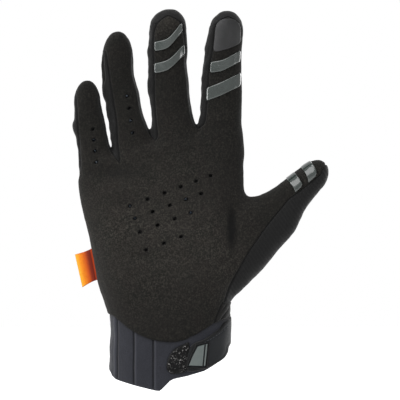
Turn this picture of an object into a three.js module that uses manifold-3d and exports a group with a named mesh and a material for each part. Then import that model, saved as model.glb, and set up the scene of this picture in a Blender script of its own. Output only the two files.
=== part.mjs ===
// A full-finger cycling glove for the right hand, in its worn form: upright, palm towards -Y, fingers up.
// Lengths are millimetres, +Z is up, and the origin is the middle of the cuff's mouth at its lowest hem.
import * as THREE from "three";
import { mergeVertices } from "three/addons/utils/BufferGeometryUtils.js";
import Module from "manifold-3d";

const wasm = await Module();
wasm.setup();

// Driving sizes
const palmWidth = 102; // across the roots of the fingers
const palmHeight = 111.6; // from the wrist line to the root of the index finger
const palmDepth = 37; // from the palm to the back of the hand
const cuffWidth = 74.4; // across the wrist
const cuffDepth = 54; // front to back at the wrist
const cuffHeight = 46.7; // from the lowest hem to the wrist line
const littleLength = 60.6; // each finger from its root, inside the palm, to its tip
const littleWidth = 18;
const littleDepth = 16.5;
const ringLength = 86.3;
const ringWidth = 21;
const ringDepth = 19;
const middleLength = 90;
const middleWidth = 24.2;
const middleDepth = 20.5;
const indexLength = 86.3;
const indexWidth = 23.8;
const indexDepth = 20.5;
const thumbLength = 84;
const thumbWidth = 22.4;
const thumbDepth = 23;
const fingerCurl = 7; // how far the fingertips lean towards the palm side
const thumbCurl = 9;

// Walls, layers and clearances
const wall = 1.5; // suede and knit
const cuffWall = 2.4; // neoprene
const liningWall = 0.9;
const gap = 0.3; // between pieces that are sewn or bonded together
const cuffInset = 0.3; // the cuff lies this far under the suede's surface
const gripHeight = 0.8; // silicone above the suede
const patchHeight = 0.5;
const strapThickness = 1.9;
const tipThickness = 1.3;
const badgeHeight = 0.7;
const frameWidth = 1.1; // the raised edge round the badge
const holeDiameter = 2.1;
const holePitch = 10.6; // between palm holes along a row
const holeRowSlope = 20.5; // degrees that the rows of palm holes climb
const grooveWidth = 0.8; // the embossed lines of the cuff
const grooveDepth = 0.6;
const groovePair = 2.3; // between the two lines of a pair
const rucheDepth = 1.0; // the folds of the elastic at the wrist
const rucheWidth = 1.1;
const rucheSlant = 5; // how much each fold climbs across the wrist
const labelThickness = 0.6; // one layer of the ribbon
const labelReach = 11.2; // how far the folded ribbon stands out of the seam
const labelHeight = 20;
const labelTilt = 13; // degrees that the ribbon leans with the seam
const pointsRound = { palm: 22, finger: 10, hole: 6 };
const reach = 80; // half the depth of a cutter, beyond every surface
const webEnd = 0.35; // where a finger leaves its neighbours, and where its tip starts, as shares of its length
const tipStart = 0.86;
const openSide = 3; // a share of half the width that is past every side
const fullSides = 1.7; // the left and right shares together where a finger still has its full depth
const tipNarrow = 0.75; // the share of half the width below which a rung belongs to the rounded tip
const tipLow = 0.8; // and the lowest that such a rung lies
const least = { tipDepth: 0.22, half: 0.6 }; // the flattest a tip gets, as a share, and the thinnest, in millimetres

// Places where the fingers' roots sit, as shares of half the palm's width and of its height
const rootPlaces = {
  little: { across: -0.912, up: 0.753, lean: 5.6 },
  ring: { across: -0.45, up: 0.797, lean: 7.6 },
  middle: { across: 0.024, up: 0.881, lean: 2 },
  index: { across: 0.595, up: 0.909, lean: -2.9 },
  thumb: { across: 0.632, up: 0.342, lean: -48.2 },
};

// Rungs of the wrist from the hem up: shares of half the cuff's width, of its depth and of its height
const cuffRows = [
  { up: -0.12, left: 1.0, right: 0.98, front: 0.49, back: 0.49 },
  { up: 0.25, left: 1.01, right: 0.99, front: 0.49, back: 0.49 },
  { up: 0.92, left: 1.0, right: 1.0, front: 0.47, back: 0.49 },
];

// Rungs of the palm: left and right ends as shares of half the palm's width, each with its own height, since the
// rungs tilt with the knuckles. The seam is where the suede's edge shows on the right.
const palmRows = [
  { leftUp: 0.05, rightUp: 0.05, left: 0.79, right: 0.72, front: 0.64, back: 0.66, seam: 0.65 },
  { leftUp: 0.14, rightUp: 0.13, left: 0.86, right: 0.77, front: 0.64, back: 0.6, seam: 0.7 },
  { leftUp: 0.24, rightUp: 0.25, left: 0.905, right: 0.81, front: 0.62, back: 0.55, seam: 0.84 },
  { leftUp: 0.365, rightUp: 0.4, left: 0.955, right: 0.86, front: 0.57, back: 0.52, seam: 1.2 },
  { leftUp: 0.49, rightUp: 0.54, left: 1.0, right: 0.885, front: 0.52, back: 0.5, seam: 1.2 },
  { leftUp: 0.59, rightUp: 0.665, left: 1.055, right: 0.89, front: 0.49, back: 0.47, seam: 1.2 },
  { leftUp: 0.68, rightUp: 0.8, left: 1.1, right: 0.885, front: 0.45, back: 0.43, seam: 1.2 },
  { leftUp: 0.755, rightUp: 0.91, left: 1.11, right: 0.875, front: 0.38, back: 0.37, seam: 1.2 },
  { leftUp: 0.81, rightUp: 0.985, left: 1.08, right: 0.84, front: 0.25, back: 0.25, seam: 1.2 },
];

// Rungs of the fingers from the root to the tip: shares of the finger's length and of half its width. The seams are
// the edges of the suede on its front, and above 1 the suede runs round the side.
const littleRows = [
  { along: 0, left: 1.0, right: 1.55, seamLeft: 1.3, seamRight: 2.0 },
  { along: 0.23, left: 1.03, right: 1.5, seamLeft: 0.9, seamRight: 1.44 },
  { along: 0.31, left: 0.97, right: 1.22, seamLeft: 0.87, seamRight: 1.16 },
  { along: 0.41, left: 1.04, right: 1.1, seamLeft: 0.83, seamRight: 1.05 },
  { along: 0.555, left: 1.22, right: 1.05, seamLeft: 0.79, seamRight: 1.0 },
  { along: 0.64, left: 1.03, right: 0.9, seamLeft: 0.78, seamRight: 0.86 },
  { along: 0.8, left: 0.93, right: 0.8, seamLeft: 0.75, seamRight: 0.77 },
  { along: 0.885, left: 0.87, right: 0.72, seamLeft: 0.74, seamRight: 0.9 },
  { along: 0.93, left: 0.77, right: 0.67, seamLeft: 1.1, seamRight: 1.1 },
  { along: 0.97, left: 0.5, right: 0.52, seamLeft: 1.1, seamRight: 1.1 },
  { along: 0.995, left: 0.2, right: 0.25, seamLeft: 1.1, seamRight: 1.1 },
];
const ringRows = [
  { along: 0, left: 1.2, right: 1.55, seamLeft: 1.6, seamRight: 1.9 },
  { along: 0.145, left: 0.98, right: 1.54, seamLeft: 0.78, seamRight: 1.9 },
  { along: 0.215, left: 1.07, right: 1.36, seamLeft: 0.68, seamRight: 1.31 },
  { along: 0.39, left: 1.04, right: 0.96, seamLeft: 0.57, seamRight: 0.9 },
  { along: 0.55, left: 1.16, right: 0.92, seamLeft: 0.6, seamRight: 0.87 },
  { along: 0.625, left: 1.15, right: 0.8, seamLeft: 0.62, seamRight: 0.76 },
  { along: 0.68, left: 1.03, right: 0.75, seamLeft: 0.63, seamRight: 0.71 },
  { along: 0.81, left: 1.0, right: 0.87, seamLeft: 0.64, seamRight: 0.84 },
  { along: 0.885, left: 0.8, right: 0.79, seamLeft: 0.67, seamRight: 0.9 },
  { along: 0.94, left: 0.57, right: 0.66, seamLeft: 1.1, seamRight: 1.1 },
  { along: 0.995, left: 0.16, right: 0.26, seamLeft: 1.1, seamRight: 1.1 },
];
const middleRows = [
  { along: 0, left: 1.23, right: 1.5, seamLeft: 1.6, seamRight: 1.9 },
  { along: 0.185, left: 1.07, right: 1.36, seamLeft: 0.94, seamRight: 1.28 },
  { along: 0.3, left: 0.95, right: 1.05, seamLeft: 0.87, seamRight: 1.0 },
  { along: 0.435, left: 1.12, right: 0.93, seamLeft: 0.8, seamRight: 0.9 },
  { along: 0.53, left: 1.09, right: 0.93, seamLeft: 0.78, seamRight: 0.9 },
  { along: 0.625, left: 1.02, right: 0.83, seamLeft: 0.76, seamRight: 0.8 },
  { along: 0.71, left: 1.1, right: 0.95, seamLeft: 0.75, seamRight: 0.88 },
  { along: 0.795, left: 0.97, right: 0.87, seamLeft: 0.76, seamRight: 0.8 },
  { along: 0.875, left: 0.95, right: 0.89, seamLeft: 0.64, seamRight: 0.76 },
  { along: 0.935, left: 0.84, right: 0.8, seamLeft: 0.32, seamRight: 0.45 },
  { along: 0.986, left: 0.4, right: 0.56 },
  { along: 0.996, left: 0.15, right: 0.35 },
];
const indexRows = [
  { along: 0, left: 1.35, right: 1.17, seamLeft: 1.9, seamRight: 1.5 },
  { along: 0.17, left: 1.21, right: 1.08, seamLeft: 0.83, seamRight: 1.5 },
  { along: 0.33, left: 1.06, right: 1.02, seamLeft: 0.78, seamRight: 1.5 },
  { along: 0.445, left: 1.08, right: 0.98, seamLeft: 0.75, seamRight: 1.5 },
  { along: 0.62, left: 1.01, right: 0.86, seamLeft: 0.64, seamRight: 1.5 },
  { along: 0.705, left: 0.99, right: 0.83, seamLeft: 0.57, seamRight: 1.5 },
  { along: 0.79, left: 0.92, right: 0.88, seamLeft: 0.56, seamRight: 0.83 },
  { along: 0.88, left: 0.84, right: 0.87, seamLeft: 0.58, seamRight: 0.79 },
  { along: 0.94, left: 0.69, right: 0.68, seamLeft: 0.3, seamRight: 0.45 },
  { along: 0.968, left: 0.5, right: 0.52 },
  { along: 0.994, left: 0.2, right: 0.26 },
];
// The thumb's left is its upper side. The back column is where the knit of its back meets the back of the hand.
const thumbRows = [
  { along: -0.19, left: 1.2, right: 2.32, front: 0.62, seamRight: 1.95, backLeft: -1.55 },
  { along: -0.02, left: 1.4, right: 2.25, front: 0.66, seamRight: 1.28, backLeft: -0.8 },
  { along: 0.1, left: 1.45, right: 2.16, front: 0.66, seamRight: 1.04, backLeft: -0.2 },
  { along: 0.22, left: 1.45, right: 2.07, front: 0.62, seamRight: 0.82, backLeft: 0.4 },
  { along: 0.33, left: 1.38, right: 1.91, front: 0.55, seamRight: 0.6, backLeft: 1.0 },
  { along: 0.42, left: 1.29, right: 1.87, front: 0.48, seamRight: 0.47, backLeft: 1.8 },
  { along: 0.5, left: 0.94, right: 1.79, front: 0.44, seamRight: 0.4, backLeft: 1.8 },
  { along: 0.62, left: 0.74, right: 1.41, front: 0.43, seamRight: 0.28, backLeft: 1.8 },
  { along: 0.75, left: 0.65, right: 1.1, front: 0.42, seamRight: 0.33, backLeft: 1.8 },
  { along: 0.82, left: 0.62, right: 1.04, front: 0.4, seamRight: 0.38, backLeft: 1.8 },
  { along: 0.89, left: 0.52, right: 0.92, front: 0.36, seamRight: 0.41, backLeft: 1.8 },
  { along: 0.94, left: 0.37, right: 0.73, front: 0.29, seamRight: 0.5, backLeft: 1.8 },
  { along: 0.98, left: 0.2, right: 0.4, front: 0.18, seamRight: 0.6, backLeft: 1.8 },
];

const fingers = {
  little: { rows: littleRows, length: littleLength, width: littleWidth, depth: littleDepth, curl: fingerCurl },
  ring: { rows: ringRows, length: ringLength, width: ringWidth, depth: ringDepth, curl: fingerCurl },
  middle: { rows: middleRows, length: middleLength, width: middleWidth, depth: middleDepth, curl: fingerCurl },
  index: { rows: indexRows, length: indexLength, width: indexWidth, depth: indexDepth, curl: fingerCurl },
  thumb: { rows: thumbRows, length: thumbLength, width: thumbWidth, depth: thumbDepth, curl: thumbCurl },
};

// Dents of the palm: places and reach as shares of half its width and of its height, depth as a share of its depth.
// A depth below zero is a swelling.
const palmDents = [
  { across: 0.72, up: 0.49, wide: 0.137, tall: 0.18, depth: 0.07 }, // crease beside the ball of the thumb
  { across: -0.1, up: 0.46, wide: 0.51, tall: 0.18, depth: 0.065 }, // hollow of the palm
  { across: -0.6, up: 0.3, wide: 0.39, tall: 0.143, depth: -0.043 }, // heel below the little finger
  { across: -0.55, up: 0.8, wide: 0.47, tall: 0.045, depth: 0.038 }, // fold below the ring and little fingers
  { across: 0.1, up: 0.3, wide: 0.59, tall: 0.045, depth: 0.027 }, // fold above the wrist
];

// Silicone bars: the height of their left end, middle and right end along the finger, half their own height, and
// how far they reach to each side, all as shares
const barRows = {
  grip_middle_upper: { on: "middle", low: 0.748, mid: 0.768, high: 0.87, half: 0.031, left: 0.66, right: 0.72 },
  grip_middle_lower: { on: "middle", low: 0.595, mid: 0.618, high: 0.723, half: 0.03, left: 0.72, right: 0.8 },
  grip_index_upper: { on: "index", low: 0.597, mid: 0.613, high: 0.682, half: 0.037, left: 0.6, right: 0.8 },
  grip_index_lower: { on: "index", low: 0.391, mid: 0.437, high: 0.506, half: 0.039, left: 0.72, right: 0.88 },
  grip_thumb_outer: { on: "thumb", low: 0.892, mid: 0.878, high: 0.858, half: 0.042, left: 0.44, right: 0.34 },
  grip_thumb_inner: { on: "thumb", low: 0.75, mid: 0.745, high: 0.733, half: 0.037, left: 0.56, right: 0.21 },
};

// The edge of the glossy pad on the index finger, from its lower left corner round
const patchEdge = [
  { along: 0.7, across: -0.53 },
  { along: 0.712, across: 0.02 },
  { along: 0.742, across: 0.5 },
  { along: 0.775, across: 0.77 },
  { along: 0.888, across: 0.74 },
  { along: 0.927, across: 0.47 },
  { along: 0.933, across: 0.1 },
  { along: 0.922, across: -0.28 },
  { along: 0.88, across: -0.53 },
];

// Rows of holes: the first hole and how many follow it
const palmHoleRows = [
  { across: -0.485, up: 0.6, count: 6 },
  { across: -0.423, up: 0.531, count: 5 },
  { across: -0.363, up: 0.457, count: 4 },
  { across: -0.287, up: 0.359, count: 3 },
];
const fingerHoleRows = [
  { on: "ring", along: 0.528, across: 0.27, step: -0.088, count: 4 },
  { on: "little", along: 0.497, across: 0.2, step: -0.112, count: 4 },
];

// The lining: its edge in the palm, how far it goes up and to the sides of the ring and little fingers, and how far
// behind the middle of the glove it may reach
const liningEdge = [
  { across: -0.8, up: 0.3 },
  { across: 0.5, up: 0.3 },
  { across: 0.62, up: 0.82 },
  { across: -0.2, up: 0.9 },
  { across: -0.95, up: 0.74 },
];
const liningStrip = { top: 0.62, side: 0.5 };
const liningBack = { palm: -0.11, finger: -0.12 };

// The suede's lower edge across the wrist, as shares of half the cuff's width and of its height
const wristEdge = [
  { across: -1.2, up: 1.01 },
  { across: -1.0, up: 1.0 },
  { across: -0.85, up: 0.91 },
  { across: -0.66, up: 0.8 },
  { across: -0.47, up: 0.72 },
  { across: -0.26, up: 0.66 },
  { across: 0, up: 0.637 },
  { across: 0.2, up: 0.657 },
  { across: 0.39, up: 0.72 },
  { across: 0.58, up: 0.81 },
  { across: 0.73, up: 0.887 },
  { across: 0.9, up: 0.93 },
  { across: 1.2, up: 0.97 },
];
// The hem, stepped where the strap closes it
const frontHem = [
  { across: 1.2, up: 0.56 },
  { across: 0.97, up: 0.53 },
  { across: 0.87, up: 0.39 },
  { across: 0.58, up: 0.253 },
  { across: 0.29, up: 0.186 },
  { across: 0.04, up: 0.147 },
  { across: -0.18, up: 0 },
  { across: -0.57, up: 0.056 },
  { across: -0.92, up: 0.146 },
  { across: -1.2, up: 0.24 },
];
const backHem = [
  { across: 1.2, up: 0.56 },
  { across: 0.4, up: 0.36 },
  { across: -0.4, up: 0.2 },
  { across: -1.2, up: 0.24 },
];
const backWristUp = 1; // the cuff's upper edge behind
const ruchedDepth = 0.25; // how far back the gathered piece goes, as a share of the cuff's depth
const embossedLines = [-0.91, -0.6, -0.255]; // across the cuff
const ruchedPiece = [
  { across: 0.78, up: 1.21 },
  { across: 0.885, up: 1.225 },
  { across: 1.3, up: 1.31 },
  { across: 1.3, up: 0.97 },
  { across: 0.9, up: 0.93 },
  { across: 0.73, up: 0.887 },
];
const rucheFolds = 5;

// The strap, its hook end and what is raised on it
const strapFront = [
  { across: 0.4, up: 0.625 },
  { across: 0.58, up: 0.685 },
  { across: 0.8, up: 0.79 },
  { across: 0.97, up: 0.88 },
  { across: 1.3, up: 0.93 },
  { across: 1.3, up: 0.58 },
  { across: 0.96, up: 0.5 },
  { across: 0.87, up: 0.405 },
  { across: 0.58, up: 0.3 },
  { across: 0.335, up: 0.265 },
  { across: 0.265, up: 0.31 },
  { across: 0.275, up: 0.42 },
  { across: 0.33, up: 0.54 },
];
const strapBack = [
  { across: 1.3, up: 0.93 },
  { across: -0.3, up: 0.8 },
  { across: -0.38, up: 0.62 },
  { across: -0.3, up: 0.44 },
  { across: 1.3, up: 0.58 },
];
const hookTip = [
  { across: 0.33, up: 0.62 },
  { across: 0.25, up: 0.615 },
  { across: 0.1, up: 0.55 },
  { across: 0.015, up: 0.46 },
  { across: -0.025, up: 0.32 },
  { across: 0, up: 0.26 },
  { across: 0.08, up: 0.23 },
  { across: 0.2, up: 0.235 },
  { across: 0.24, up: 0.25 },
  { across: 0.23, up: 0.3 },
  { across: 0.235, up: 0.43 },
  { across: 0.285, up: 0.55 },
];
const badgeEdge = [
  { across: 0.58, up: 0.6 },
  { across: 0.455, up: 0.565 },
  { across: 0.33, up: 0.335 },
  { across: 0.555, up: 0.33 },
];
const stripeEdge = [
  { across: 0.635, up: 0.605 },
  { across: 0.605, up: 0.605 },
  { across: 0.59, up: 0.33 },
  { across: 0.62, up: 0.33 },
];
const frameHole = [
  { across: 0.655, up: 0.64 },
  { across: 0.43, up: 0.6 },
  { across: 0.295, up: 0.305 },
  { across: 0.645, up: 0.295 },
];
const labelPlace = { across: -0.93, up: 0.272 }; // the middle of the ribbon in the seam

// A closed mesh from three.js as a solid.
function solidOf(geometry) {
  geometry.deleteAttribute("normal");
  geometry.deleteAttribute("uv");
  const merged = mergeVertices(geometry, 1e-4);
  return new wasm.Manifold(
    new wasm.Mesh({
      numProp: 3,
      vertProperties: merged.getAttribute("position").array,
      triVerts: new Uint32Array(merged.index.array),
    }),
  );
}

// A closed body through rings of as many points each, with a fan over each end.
function loft(rings) {
  const round = rings[0].length;
  const positions = rings.flat().flatMap((p) => [p.x, p.y, p.z]);
  const index = [];
  for (let i = 0; i + 1 < rings.length; i++) {
    for (let j = 0; j < round; j++) {
      const next = (j + 1) % round;
      const a = i * round + j;
      const b = i * round + next;
      index.push(a, b, b + round, a, b + round, a + round);
    }
  }
  for (const [ring, start, up] of [
    [rings[0], 0, false],
    [rings.at(-1), (rings.length - 1) * round, true],
  ]) {
    const middle = ring.reduce((sum, p) => sum.add(p), new THREE.Vector3()).divideScalar(round);
    const centre = positions.length / 3;
    positions.push(middle.x, middle.y, middle.z);
    for (let j = 0; j < round; j++) {
      const here = start + j;
      const next = start + ((j + 1) % round);
      index.push(centre, up ? here : next, up ? next : here);
    }
  }
  const geometry = new THREE.BufferGeometry();
  geometry.setAttribute("position", new THREE.Float32BufferAttribute(positions, 3));
  geometry.setIndex(index);
  return solidOf(geometry);
}

// A prism over an outline of [x, z] points, from yLow to yHigh.
function prism(points, yLow, yHigh) {
  const shape = new THREE.Shape(points.map(([x, z]) => new THREE.Vector2(x, z)));
  const geometry = new THREE.ExtrudeGeometry(shape, { depth: yHigh - yLow, bevelEnabled: false });
  geometry.rotateX(Math.PI / 2);
  geometry.translate(0, yHigh, 0);
  return solidOf(geometry);
}

// The same outline with each side moved out by a distance.
function widened(points, by) {
  const turn = Math.sign(THREE.ShapeUtils.area(points.map(([x, z]) => new THREE.Vector2(x, z))));
  return points.map((here, i) => {
    const before = points.at(i - 1);
    const after = points[(i + 1) % points.length];
    const sides = [
      [here[0] - before[0], here[1] - before[1]],
      [after[0] - here[0], after[1] - here[1]],
    ].map(([x, z]) => {
      const long = Math.hypot(x, z);
      return [(turn * z) / long, (-turn * x) / long];
    });
    const sum = [sides[0][0] + sides[1][0], sides[0][1] + sides[1][1]];
    const spread = Math.max(sum[0] ** 2 + sum[1] ** 2, 1);
    return [here[0] + (2 * by * sum[0]) / spread, here[1] + (2 * by * sum[1]) / spread];
  });
}

const join = (solids) => solids.reduce((all, one) => all.add(one));
const wrist = ({ across, up }) => [(across * cuffWidth) / 2, up * cuffHeight];
const palmPoint = ({ across, up }) => [(across * palmWidth) / 2, cuffHeight + up * palmHeight];

// A rounded cross-section: left, right, front and back are lengths from its centre.
function roundedRing(count, squareness, ends, centre) {
  return Array.from({ length: count }, (_, i) => {
    const angle = (2 * Math.PI * (i + 0.5)) / count;
    const c = Math.sign(Math.cos(angle)) * Math.abs(Math.cos(angle)) ** (2 / squareness);
    const s = Math.sign(Math.sin(angle)) * Math.abs(Math.sin(angle)) ** (2 / squareness);
    return centre(c, s * (s < 0 ? ends.front : ends.back));
  });
}

// Depth of the palm's dents at a place, in millimetres.
function dentAt(x, z) {
  return palmDents.reduce((sum, dent) => {
    const [cx, cz] = palmPoint(dent);
    const across = (x - cx) / ((dent.wide * palmWidth) / 2);
    const up = (z - cz) / (dent.tall * palmHeight);
    return sum + dent.depth * palmDepth * Math.exp(-(across ** 2) - up ** 2);
  }, 0);
}

// The wrist and palm as one body, with every surface moved out by `out`.
function palmBody(out) {
  const rungs = [
    ...cuffRows.map((row) => ({
      left: [(-row.left * cuffWidth) / 2, row.up * cuffHeight],
      right: [(row.right * cuffWidth) / 2, row.up * cuffHeight],
      front: row.front * cuffDepth,
      back: row.back * cuffDepth,
    })),
    ...palmRows.map((row) => ({
      left: palmPoint({ across: -row.left, up: row.leftUp }),
      right: palmPoint({ across: row.right, up: row.rightUp }),
      front: row.front * palmDepth,
      back: row.back * palmDepth,
    })),
  ];
  const first = rungs[0].left[1];
  const whole = rungs.at(-1).right[1] - first;
  return loft(
    rungs.map((rung) => {
      const ends = { front: rung.front + out, back: rung.back + out };
      return roundedRing(pointsRound.palm, 2.5, ends, (c, y) => {
        const share = (c + 1) / 2;
        const x = rung.left[0] + (rung.right[0] - rung.left[0]) * share + out * c;
        const level = rung.left[1] + (rung.right[1] - rung.left[1]) * share;
        const climbed = (level - first) / whole; // the top moves out, and the foot too where the body grows
        const z = level + out * climbed - Math.max(out, 0) * (1 - climbed);
        const dent = y < 0 ? dentAt(x, z) * Math.min(1, -y / ends.front) : 0;
        return new THREE.Vector3(x, y + dent, z);
      });
    }),
  );
}

// A finger's own frame: a point at a share of its length and at a distance across it.
function fingerFrame(name) {
  const finger = fingers[name];
  const place = rootPlaces[name];
  const [rootX, rootZ] = palmPoint(place);
  const lean = THREE.MathUtils.degToRad(place.lean);
  const at = (along, across, y, out = 0) => {
    const reachUp = along * (finger.length + out);
    return new THREE.Vector3(
      rootX - Math.sin(lean) * reachUp + Math.cos(lean) * across,
      y - finger.curl * Math.max(along, 0) ** 2,
      rootZ + Math.cos(lean) * reachUp + Math.sin(lean) * across,
    );
  };
  return { ...finger, half: finger.width / 2, at };
}

// Fewer rungs for the inside of a wall: every second one between the web and the tip, at the narrowest that the
// finger is near it.
function innerRows(rows) {
  const straight = rows.filter((row) => row.along > webEnd && row.along < tipStart);
  const kept = straight.filter((row, i) => i % 2 === 0);
  const narrowest = (row, side) => {
    const i = straight.indexOf(row);
    return Math.min(...straight.slice(Math.max(i - 1, 0), i + 2).map((other) => other[side]));
  };
  return rows
    .filter((row) => !straight.includes(row) || kept.includes(row))
    .map((row) => {
      if (!kept.includes(row)) return row;
      return { ...row, left: narrowest(row, "left"), right: narrowest(row, "right") };
    });
}

function fingerBody(name, out) {
  const finger = fingerFrame(name);
  const rows = out < 0 && name !== "thumb" ? innerRows(finger.rows) : finger.rows;
  return loft(
    rows.map((row) => {
      const tip = Math.min(row.left, row.right) < tipNarrow && row.along > tipLow;
      const taper = tip ? Math.sqrt((row.left + row.right) / fullSides) : 1;
      const deep = finger.depth * (row.front ?? 0.5 * THREE.MathUtils.clamp(taper, least.tipDepth, 1));
      const round = (length) => Math.max(length + out, least.half);
      const ends = { front: round(deep), back: round(deep) };
      const left = round(row.left * finger.half);
      const right = round(row.right * finger.half);
      const middle = (right - left) / 2;
      const half = (right + left) / 2;
      return roundedRing(pointsRound.finger, 2.2, ends, (c, y) => finger.at(row.along, middle + half * c, y, out));
    }),
  );
}

const bodyNames = ["little", "ring", "middle", "index", "thumb"];
const glove = (out) => join([palmBody(out), ...bodyNames.map((name) => fingerBody(name, out))]);

// A cutter that follows a finger: four corners a rung, from left to right and between two depths.
// Its ends, like its sides, move out by `out`.
function fingerBlock(name, out, edges, low, high) {
  const finger = fingerFrame(name);
  const rows = finger.rows.filter((row) => edges(row));
  return loft(
    rows.map((row, i) => {
      const end = i === 0 ? -1 : i === rows.length - 1 ? 1 : 0;
      const along = row.along + (end * out) / finger.length;
      const [left, right] = edges(row).map((across) => across * finger.half);
      return [
        finger.at(along, right + out, low(finger, row)),
        finger.at(along, right + out, high(finger, row) + out),
        finger.at(along, left - out, high(finger, row) + out),
        finger.at(along, left - out, low(finger, row)),
      ];
    }),
  );
}

// Everything that the suede covers, with its seams moved out by `out`.
function suedeRegion(out) {
  const finger = (name) =>
    fingerBlock(
      name,
      out,
      (row) => (row.seamRight ? [-(row.seamLeft ?? openSide), row.seamRight] : null),
      () => -reach,
      () => 0,
    );
  const leftEdge = palmRows.map((row) => palmPoint({ across: -1.3, up: row.leftUp }));
  const rightEdge = palmRows.map((row) => {
    const [x, z] = palmPoint({ across: row.seam, up: row.rightUp });
    return [x + out, z];
  });
  const webs = websBetweenFingers().map(([x, z]) => [x, z + out]);
  const palm = [
    [leftEdge[0][0], -reach],
    [rightEdge[0][0], -reach],
    ...rightEdge,
    ...webs.reverse(),
    [leftEdge[0][0], webs.at(-1)[1]],
  ];
  return join([prism(palm, -reach, out), ...bodyNames.map(finger)]);
}

// The lowest points of the seams between the fingers, from the left edge of the palm to the right.
function websBetweenFingers() {
  return [
    palmPoint({ across: -1.3, up: 0.78 }),
    palmPoint({ across: -1.0, up: 0.79 }),
    palmPoint({ across: -0.68, up: 0.828 }),
    palmPoint({ across: -0.21, up: 0.955 }),
    palmPoint({ across: 0.34, up: 1.01 }),
    palmPoint({ across: 1.0, up: 1.02 }),
  ];
}

// The wrist line: everything below it belongs to the cuff. `out` moves it up.
function cuffRegion(out) {
  const lifted = (points) => points.map(({ across, up }) => wrist({ across, up })).map(([x, z]) => [x, z + out]);
  const front = [...lifted(wristEdge), ...frontHem.map(wrist)];
  const back = [...lifted([wristEdge[0], { across: 0, up: backWristUp }, wristEdge.at(-1)]), ...backHem.map(wrist)];
  return prism(front, -reach, 0).add(prism(back, -gap, reach));
}
function belowWrist(out) {
  const floor = -reach;
  const lifted = (points) => points.map(wrist).map(([x, z]) => [x, z + out]);
  const ends = [
    [wrist(wristEdge.at(-1))[0], floor],
    [wrist(wristEdge[0])[0], floor],
  ];
  const front = [...lifted(wristEdge), ...ends];
  const back = [...lifted([wristEdge[0], { across: 0, up: backWristUp }, wristEdge.at(-1)]), ...ends];
  return prism(front, -reach, 0).add(prism(back, -gap, reach));
}

const sideDepth = 0.62; // how far back the side walls of the fingers reach, as a share of half their depth
const sideReach = 1.7; // and how far from the finger's axis, as a share of half its width
function sidePanelBlock(name, side, from, to, out) {
  return fingerBlock(
    name,
    out,
    (row) => {
      if (row.along < from || row.along > to) return null;
      return side === "left" ? [-sideReach, 0] : [0, sideReach];
    },
    () => -reach,
    (finger, row) => sideDepth * (finger.depth / 2) * Math.min(1, (row.left + row.right) / fullSides),
  );
}

// The cloth shell above the wrist, and what each panel takes of it.
const shell = glove(0).subtract(glove(-wall));
const hand = shell.subtract(belowWrist(gap));
const ruchedBlock = (out) => prism(widened(ruchedPiece.map(wrist), out), -reach, ruchedDepth * cuffDepth + out);
const ruchedRegion = (out) => ruchedBlock(out).subtract(belowWrist(gap - out));
const cloth = hand.subtract(suedeRegion(gap)).subtract(ruchedRegion(gap));
const thumbRegion = (out) =>
  fingerBlock(
    "thumb",
    out,
    (row) => [-row.backLeft, openSide],
    () => -reach,
    () => reach,
  );
const walls = {
  little_side_panel: [["little", "left", 0, 0.94]],
  fourchette_ring_little: [
    ["little", "right", 0, 0.94],
    ["ring", "left", 0, 0.95],
  ],
  fourchette_middle_ring: [
    ["ring", "right", 0, 0.95],
    ["middle", "left", 0, 0.88],
  ],
  fourchette_index_middle: [
    ["middle", "right", 0, 0.88],
    ["index", "left", 0, 0.89],
  ],
};
const wallRegion = (name, out) => join(walls[name].map((stretch) => sidePanelBlock(...stretch, out)));

function holes() {
  const drill = ([x, z]) => {
    const geometry = new THREE.CylinderGeometry(holeDiameter / 2, holeDiameter / 2, reach, pointsRound.hole);
    geometry.translate(x, -reach / 2, z);
    return solidOf(geometry);
  };
  const slope = THREE.MathUtils.degToRad(holeRowSlope);
  const places = palmHoleRows.flatMap((row) => {
    const [x, z] = palmPoint(row);
    return Array.from({ length: row.count }, (_, i) => [
      x + i * holePitch * Math.cos(slope),
      z + i * holePitch * Math.sin(slope),
    ]);
  });
  for (const row of fingerHoleRows) {
    const finger = fingerFrame(row.on);
    for (let i = 0; i < row.count; i++) {
      const p = finger.at(row.along + i * row.step, row.across * finger.half, 0);
      places.push([p.x, p.z]);
    }
  }
  return join(places.map(drill));
}

// The mesh behind the holes: under the palm and up the ring and little fingers.
function lining() {
  const outer = glove(-wall - gap);
  const inner = glove(-wall - gap - liningWall);
  const strip = (name) =>
    fingerBlock(
      name,
      0,
      (row) => (row.along > liningStrip.top ? null : [-liningStrip.side, liningStrip.side]),
      () => -reach,
      (finger) => liningBack.finger * finger.depth,
    );
  const palm = prism(liningEdge.map(palmPoint), -reach, liningBack.palm * palmDepth);
  return outer.subtract(inner).intersect(join([palm, strip("ring"), strip("little")]));
}

function grip(name) {
  const bar = barRows[name];
  const finger = fingerFrame(bar.on);
  const edge = (across, along) => {
    const p = finger.at(along, across * finger.half, 0);
    return [p.x, p.z];
  };
  const outline = [
    edge(-bar.left, bar.low - bar.half),
    edge(0, bar.mid - bar.half),
    edge(bar.right, bar.high - bar.half),
    edge(bar.right, bar.high + bar.half),
    edge(0, bar.mid + bar.half),
    edge(-bar.left, bar.low + bar.half),
  ];
  const layer = fingerBody(bar.on, gap + gripHeight).subtract(fingerBody(bar.on, gap));
  return layer.intersect(prism(outline, -reach, -finger.curl / 2));
}

function touchPatch() {
  const finger = fingerFrame("index");
  const outline = patchEdge.map(({ along, across }) => {
    const p = finger.at(along, across * finger.half, 0);
    return [p.x, p.z];
  });
  const layer = fingerBody("index", gap + patchHeight).subtract(fingerBody("index", gap));
  return layer.intersect(prism(outline, -reach, -finger.curl / 2));
}

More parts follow.
